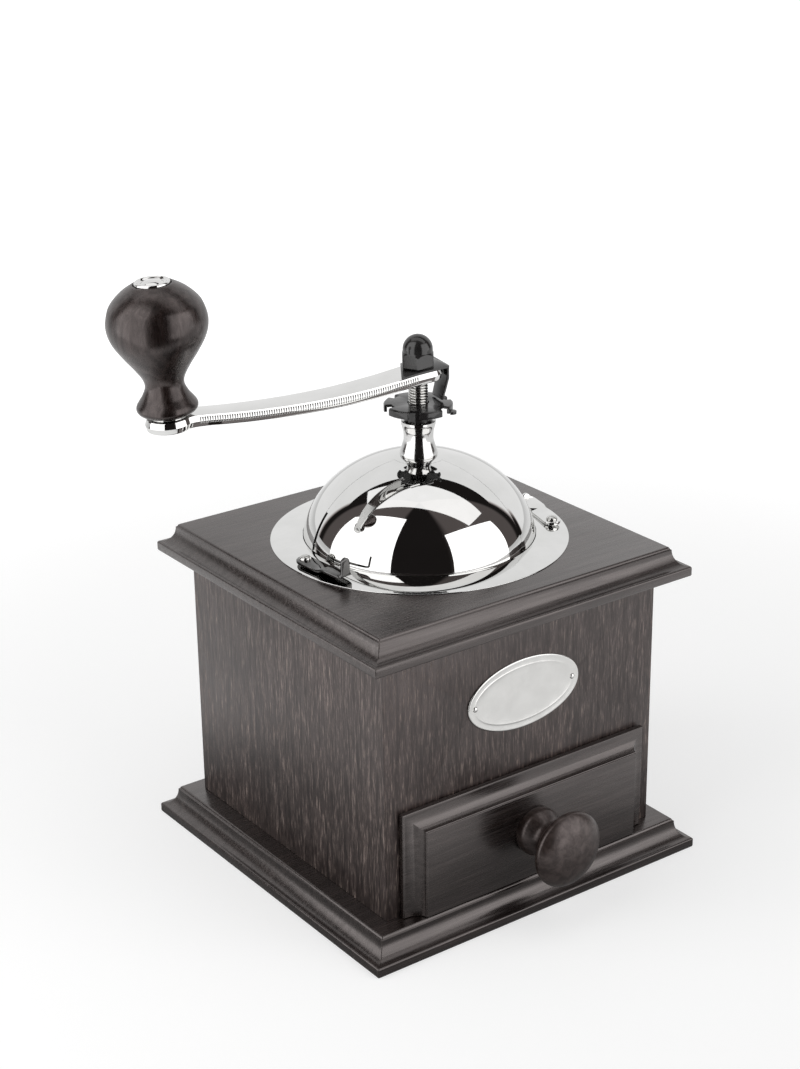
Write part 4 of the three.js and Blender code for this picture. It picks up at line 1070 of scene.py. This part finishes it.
def armBar(look):
    length, root, steps = armPlace["length"], look["rootRadius"] - look["rootReach"], look["roundSteps"]
    xs = [root - look["rootRadius"] * cos(turn) for turn in quarter(steps, 0)[:-1]]
    xs += [root + (length - root) * step / look["barSteps"] for step in range(look["barSteps"] + 1)]
    xs += [length + look["padRadius"] * sin(turn) for turn in quarter(steps)]
    side = [(x, armHalfWidth(x)) for x in xs]
    plan = (side + [(x, -y) for x, y in side[::-1][1:-1]])[::-1]
    count = len(plan)
    inward = []
    for index in range(count):
        along = (Vector(plan[(index + 1) % count]) - Vector(plan[index - 1])).normalized()
        inward.append((-along.y, along.x))
    thick, edge = look["thickness"], look["edge"]
    upper = [(edge * aside + look["bulge"], edge * down) for aside, down in look["edgeShares"]]
    section = upper + [(0.0, thick / 2)] + [(inset, thick - depth) for inset, depth in upper[::-1]]
    loops = []
    for inset, depth in section:
        spots = [(x + aside * inset, y + ahead * inset) for (x, y), (aside, ahead) in zip(plan, inward)]
        loops.append([(x, y, armHeight(x) - depth) for x, y in spots])
    # a cap is a strip of faces from side to side, which can follow the bar's dip
    caps = [[0, 1, count - 1]]
    for step in range(1, count // 2):
        caps.append(list(dict.fromkeys([step, step + 1, count - step - 1, count - step])))
    bar = loftMesh(loops, armTurn, caps=caps)
    return cutWith(bar, [rodMesh(*look["spindleHole"], 48), rodMesh(*look["pinHole"], 40, padMatrix())])


def armHatching(look):
    steps, start, end = look["railSteps"], look["hatchStart"], look["hatchEnd"]
    xs = [start + (end - start) * step / steps for step in range(steps + 1)]
    inset, drop = look["bulge"] * look["hatchIn"], look["thickness"] * look["hatchDepth"]
    points = [(x, side * (armHalfWidth(x) - inset), armHeight(x) - drop) for side in (1, -1) for x in xs]
    edges = [(index, index + 1) for index in range(len(points) - 1) if index != steps]
    graph = GeometryGraph("armHatching", {
        "Pitch": look["hatchPitch"] * mm, "Rib Radius": look["hatchRadius"] * mm,
        "Rib Rise": look["hatchRise"] * mm, "Rib Sides": look["hatchSides"],
    })
    curve = graph.add("GeometryNodeMeshToCurve", {"Mesh": graph.group})
    spread = graph.add("GeometryNodeResampleCurve", {"Curve": curve, "Length": graph.size("Pitch")},
                       mode="LENGTH")
    rib = graph.rod("Rib Radius", "Rib Rise", graph.size("Rib Sides"))
    ribs = graph.add("GeometryNodeInstanceOnPoints", {"Points": spread, "Instance": rib})
    graph.finish(ribs, polishedChrome)
    mesh = graph.grow(meshFrom(points, edges))
    mesh.transform(armTurn)
    return mesh


armMesh = joinedMesh(armBar(armLook), armHatching(armLook))
finishPiece("crank_arm_metal", armMesh, "crank", polishedChrome, ["crank_arm"], 30)

catchLook = dict(
    sheet=0.8, half=6.3, flat=[(6.0, 1), (3.5, 1), (2, 0.5), (-1, 0), (-4, 0), (-7, 0)], skew=2.9,
    back=-9.4, bendFrom=-8, bend=1.0, legHalf=3.7, legTop=4.5, legLean=2.0, kneeLean=0.45, kneeRise=0.4,
    footShare=0.92, edge=0.2,
)


def makeCatch(look):
    half, bend, wide, narrow = look["sheet"] / 2, look["bend"], look["half"], look["legHalf"]
    outer = look["back"] + half
    top = armHeight(look["bendFrom"]) + half
    stations = [(x, armHeight(x) + half, wide, -look["skew"] * share) for x, share in look["flat"]]
    stations.append((outer + bend, top, wide))
    for step, turn in enumerate(quarter(4), 1):
        x, z = outer + bend * (1 - sin(turn)), top - bend * (1 - cos(turn))
        stations.append((x, z, wide + (narrow - wide) * min(1, step / 3)))
    legTop, legFoot, lean = catchTop - look["legTop"], catchFoot, look["legLean"]
    stations += [(outer, legTop, narrow),
                 (outer + lean * look["kneeLean"], (legTop + legFoot) / 2 + look["kneeRise"], narrow),
                 (outer + lean, legFoot, narrow * look["footShare"])]
    mesh = stripMesh(stations, look["sheet"], look["edge"], armTurn)
    finishPiece("wheel_catch_metal", mesh, "crank", blackSteel, ["wheel_catch"], 40)


makeCatch(catchLook)

nutLook = dict(
    flats=10.0, corner=234.0, hexHeight=4.9, chamferSlope=1.2, domeRadius=4.85, seam=0.02, footEdge=0.25,
    cornerShare=0.99, segments=144, domeSteps=18,
)


def makeNut(look):
    low, high = catchTop, heights("acorn_nut")[1]
    hexTop, dome, edge = low + look["hexHeight"], look["domeRadius"], look["footEdge"]
    crown = [(dome * cos(turn), high - dome + dome * sin(turn))
             for turn in quarter(look["domeSteps"], 0)[:-1]]
    columns = []
    for step in range(look["segments"]):
        turn = 360 * step / look["segments"] + look["corner"]
        apart = radians((turn - look["corner"]) % 60 - 30)
        turn = radians(turn)
        wide = min(look["flats"] / 2 / cos(apart), look["flats"] / sqrt(3) * look["cornerShare"])
        shoulder = hexTop - (wide - dome) * look["chamferSlope"]
        column = [(wide - edge, low), (wide, low + edge), (wide, shoulder), (dome + look["seam"], hexTop)]
        columns.append([(radius * cos(turn), radius * sin(turn), height)
                        for radius, height in [*column, *crown, (0, high)]])
    mesh = loftMesh(list(zip(*columns)))
    finishPiece("acorn_nut_metal", mesh, "crank", blackSteel, ["acorn_nut"], 24)


makeNut(nutLook)
print("crank made")


# The oval plate: a dished sheet with a rolled rim and a fine inner line

ovalLook = dict(
    segments=128, rim=3,
    profile=[
        (0.0, 0.0), (0.0, 0.35), (0.1, 0.5), (0.3, 0.6), (0.6, 0.61), (0.9, 0.57), (1.2, 0.52), (1.5, 0.49),
        (2.3, 0.48), (2.42, 0.52), (2.6, 0.535), (2.78, 0.52), (2.9, 0.48), (5.0, 0.51), (8.0, 0.535),
        (11.0, 0.55),
    ],
)


def makeOval(look):
    low, high = nodeBox("oval_plate")
    middle, count, rim = (low + high) / 2, look["segments"], look["rim"]
    wide, tall = (high.x - low.x) / 2, (high.z - low.z) / 2
    turns = [2 * pi * step / count for step in range(count)]
    loops = []
    for inset, rise in look["profile"]:
        a = wide - inset if inset < rim else (wide - rim) * (tall - inset) / (tall - rim)
        loops.append([(middle.x + a * cos(turn), high.y - rise, middle.z + (tall - inset) * sin(turn))
                      for turn in turns])
    finishPiece("oval_plate_metal", loftMesh(loops), "case", brightNickel, ["oval_plate"], 50)


makeOval(ovalLook)


# Screws and rivets are set out from points, one point for each

headLooks = dict(
    bridge_screws_set=dict(head=1.9, rise=1.1, shank=1.1, length=8.0, slot=0.45, turn=25.0),
    mechanism_screws_set=dict(head=2.4, rise=1.5, shank=1.4, length=3.5, slot=0.55, turn=10.0),
    latch_rivets_set=dict(head=1.9, rise=1.25, shank=1.2, length=7.0, slot=0.0, turn=0.0),
    base_screws_set=dict(head=3.1, rise=1.6, shank=1.6, length=13.0, slot=0.8, turn=40.0),
    plate_pins_set=dict(head=0.95, rise=0.6, shank=0.6, length=5.0, slot=0.0, turn=0.0),
)
headShape = dict(sides=32, rings=16, shankSides=24, slotReach=1.35, slotLift=0.95)
pinSink = 0.42  # from the oval plate's rim back to the foot of its pins' heads


def headGraph(name, look, material):
    # a domed head on a shank, with a cross slot when the slot is wider than nothing
    graph = GeometryGraph(name, {
        "Head Radius": look["head"] * mm, "Head Rise": look["rise"] * mm, "Shank Radius": look["shank"] * mm,
        "Shank Length": look["length"] * mm, "Slot Width": look["slot"] * mm, "Turn": radians(look["turn"]),
    })
    rise, radius, slot = (graph.size(label) for label in ("Head Rise", "Head Radius", "Slot Width"))
    ball = graph.add("GeometryNodeMeshUVSphere", {
        "Segments": headShape["sides"], "Rings": headShape["rings"], "Radius": radius})
    head = graph.moved(ball, scale=graph.vector(1.0, 1.0, graph.maths("DIVIDE", rise, radius)))
    if look["slot"]:
        wide = graph.times(radius, headShape["slotReach"])
        lift = graph.vector(z=graph.times(rise, headShape["slotLift"]))
        bars = [graph.add("GeometryNodeMeshCube", {"Size": graph.vector(x, y, rise)})
                for x, y in ((wide, slot), (slot, wide))]
        head = graph.add("GeometryNodeMeshBoolean", {"Mesh 1": head}, operation="DIFFERENCE")
        graph.gather(head.inputs["Mesh 2"], [graph.moved(bar, translation=lift) for bar in bars])
    shank = graph.rod("Shank Radius", "Shank Length", headShape["shankSides"])
    down = graph.vector(z=graph.times(graph.size("Shank Length"), -0.5))
    whole = graph.add("GeometryNodeJoinGeometry")
    graph.gather(whole.inputs[0], [head, graph.moved(shank, translation=down)])
    graph.finish(graph.add("GeometryNodeInstanceOnPoints", {
        "Points": graph.group, "Instance": whole, "Rotation": graph.vector(z=graph.size("Turn"))}), material)
    return graph


def makeHeads(label, material, nodes, spotOf, tilt=0):
    # spotOf gives the place under a head; tilt turns the heads about X, away from facing up
    look = headLooks[label]
    turn = spin(tilt, "X")
    spots = [turn.inverted() @ Vector(spotOf(*nodeBox(node), look["rise"])) for node in nodes]
    mesh = headGraph(label, look, material).grow(meshFrom(spots))
    mesh.transform(turn)
    finishPiece(label, mesh, "case", material, nodes, 40)


def onTop(low, high, rise):
    return (low.x + high.x) / 2, (low.y + high.y) / 2, high.z - rise


def fromBelow(low, high, rise):
    return (low.x + high.x) / 2, (low.y + high.y) / 2, low.z + rise


def onPlate(low, high, rise):
    return (low.x + high.x) / 2, nodeBox("oval_plate")[1].y - pinSink, (low.z + high.z) / 2


makeHeads("bridge_screws_set", turnedSteel, ["bridge_screw_front", "bridge_screw_back"], onTop)
makeHeads("mechanism_screws_set", turnedSteel, [f"mechanism_screw_{index}" for index in range(1, 4)], onTop)
makeHeads("latch_rivets_set", turnedSteel, ["latch_rivet_left", "latch_rivet_right"], onTop)
makeHeads("base_screws_set", turnedSteel, [f"base_screw_{index}" for index in baseScrews], fromBelow, 180)
makeHeads("plate_pins_set", brightNickel, ["plate_pin_left", "plate_pin_right"], onPlate, 90)

for name in ("burr_pin", "knob_washer", "drawer_knob_screw"):
    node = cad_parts[name]
    node.data.materials.clear()
    node.data.materials.append(turnedSteel)
print("fastenings made")


# The studio, in metres: a white floor, a white card behind, two upright soft boxes and one overhead

studio = dict(
    backPlan=54.1,  # degrees, the way the camera looks
    cardAngle=63.4, cardSoft=5.0, cardHeight=1.6, cardLevel=0.95, bandAngle=71.0,
    bandSoft=4.0, sideLevel=0.09, sideEnd=152.0, sideSoft=12.0, darkLevel=0.012,
    darkTint=(1.0, 0.86, 0.83), fillLevel=0.26, floorSize=30.0, floorGlow=0.52,
    # in reflections the floor is painted darker close to the mill's axis: 0.27 of its level within 0.09 m,
    # back to full at 0.16 m (painted shade)
    floorColour=0.5, glowStart=0.2, glowEnd=0.75, paintedShadeStart=0.09, paintedShadeEnd=0.16,
    paintedShadeLevel=0.27, tableFront=0.2,
)
softBoxes = dict(
    leftBox=dict(middle=(-0.63, 0.29, 0.40), size=(1.09, 1.4), faces=(0.883, 0.469, 0), level=1.9),
    rightBox=dict(middle=(0.61, -0.89, 0.40), size=(1.37, 1.4), faces=(-0.118, 0.993, 0), level=1.9),
    topBox=dict(middle=(0.22, -0.02, 1.40), size=(2.3, 0.66), faces=(0, 0, -1), level=1.15,
               along=130.0),
)


def towards(degrees):
    turn = radians(degrees)
    return Vector((cos(turn), sin(turn), 0))


def makeSoftBox(name, look):
    data = bpy.data.lights.new(name, "AREA")
    data.shape = "RECTANGLE"
    data.size, data.size_y = look["size"]
    data.energy = look["level"] * pi * data.size * data.size_y
    faces = Vector(look["faces"]).normalized()
    side = towards(look["along"]) if "along" in look else Vector((0, 0, 1)).cross(faces)
    light = addObject(name, data)
    light.matrix_world = Matrix.Translation(look["middle"]) @ axes(side, -faces.cross(side), -faces)


def seenRays(graph):
    path = graph.add("ShaderNodeLightPath").outputs
    return graph.maths("MAXIMUM", path["Is Camera Ray"], path["Is Transmission Ray"]), path["Is Glossy Ray"]


def makeWorld(look):
    world = bpy.data.worlds.new("studioWorld")
    bpy.context.scene.world = world
    world.use_nodes = True
    graph = Graph(world.node_tree)
    direction = graph.add("ShaderNodeTexCoord").outputs["Generated"]
    turned = graph.add("ShaderNodeVectorRotate", {"Vector": direction, "Angle": -radians(look["backPlan"])},
                       rotation_type="Z_AXIS")
    ahead, left, above = graph.add("ShaderNodeSeparateXYZ", {0: turned}).outputs
    arctangent = graph.maths("ARCTAN2", graph.maths("ABSOLUTE", left, 0.0), ahead)
    plan = graph.times(arctangent, 180 / pi)
    upward = graph.maths("DIVIDE", above, graph.maths("MAXIMUM", ahead, 0.001))

    def fade(end, soft, first, last):
        return graph.span(plan, end - soft, end, first, last, "SMOOTHSTEP")

    card = graph.times(fade(look["cardAngle"], look["cardSoft"], 1.0, 0.0),
                       graph.maths("LESS_THAN", upward, look["cardHeight"]))
    side = graph.times(fade(look["bandAngle"], look["bandSoft"], 0.0, look["sideLevel"]),
                       fade(look["sideEnd"], look["sideSoft"], 1.0, 0.0))
    level = graph.between(card, graph.maths("ADD", side, look["darkLevel"]), look["cardLevel"])
    shown, glossy = seenRays(graph)
    strength = graph.between(shown, graph.between(glossy, look["fillLevel"], level), 1.0)
    offCard = graph.times(glossy, graph.maths("SUBTRACT", 1.0, card))
    tinted = graph.mix(offCard, grey(1), opaque(look["darkTint"]))
    background = graph.add("ShaderNodeBackground", {"Color": tinted, "Strength": strength})
    graph.add("ShaderNodeOutputWorld", {"Surface": background})


def makeFloor(look):
    half = look["floorSize"] / 2
    mesh = bpy.data.meshes.new("studioFloor")
    corners = [(-half, -half, 0), (half, -half, 0), (half, half, 0), (-half, half, 0)]
    mesh.from_pydata(corners, [], [(0, 1, 2, 3)])
    floor = addObject("studioFloor", mesh)
    material, graph = startMaterial("paleFloor")
    mesh.materials.append(material)
    place = graph.add("ShaderNodeTexCoord").outputs["Object"]
    far = graph.add("ShaderNodeVectorMath", {0: place}, operation="LENGTH").outputs["Value"]
    # painted shade: for glossy rays only, the floor's colour and glow darken close to the object, so the
    # coves, knobs and lower case reflect a shaded floor
    paintedNearShade = graph.span(far, look["paintedShadeStart"], look["paintedShadeEnd"], look["paintedShadeLevel"], 1.0, "SMOOTHSTEP")
    glow = graph.span(far, look["glowStart"], look["glowEnd"], look["floorGlow"], 1.0, "SMOOTHSTEP")
    shown, glossy = seenRays(graph)
    reflectedPaintedShade = graph.between(glossy, 1.0, paintedNearShade)
    shade = graph.add("ShaderNodeBsdfDiffuse", {
        "Color": graph.mix(1.0, grey(look["floorColour"]), reflectedPaintedShade, "MULTIPLY")})
    mirrored = graph.times(graph.times(glossy, look["floorGlow"]), paintedNearShade)
    strength = graph.maths("MAXIMUM", graph.times(shown, glow), mirrored)
    light = graph.add("ShaderNodeEmission", {"Color": grey(1), "Strength": strength})
    table = graph.add("ShaderNodeAddShader", {0: shade, 1: light})
    # polished metal sees the studio past the table's edge
    ahead = graph.add("ShaderNodeVectorMath", {0: place, 1: towards(look["backPlan"] + 180)},
                      operation="DOT_PRODUCT").outputs["Value"]
    past = graph.times(glossy, graph.maths("GREATER_THAN", ahead, look["tableFront"]))
    clear = graph.add("ShaderNodeBsdfTransparent")
    surface = graph.add("ShaderNodeMixShader", {0: past, 1: table, 2: clear})
    graph.add("ShaderNodeOutputMaterial", {"Surface": surface})


for name, look in softBoxes.items():
    makeSoftBox(name, look)
makeWorld(studio)
makeFloor(studio)
print("studio lit")
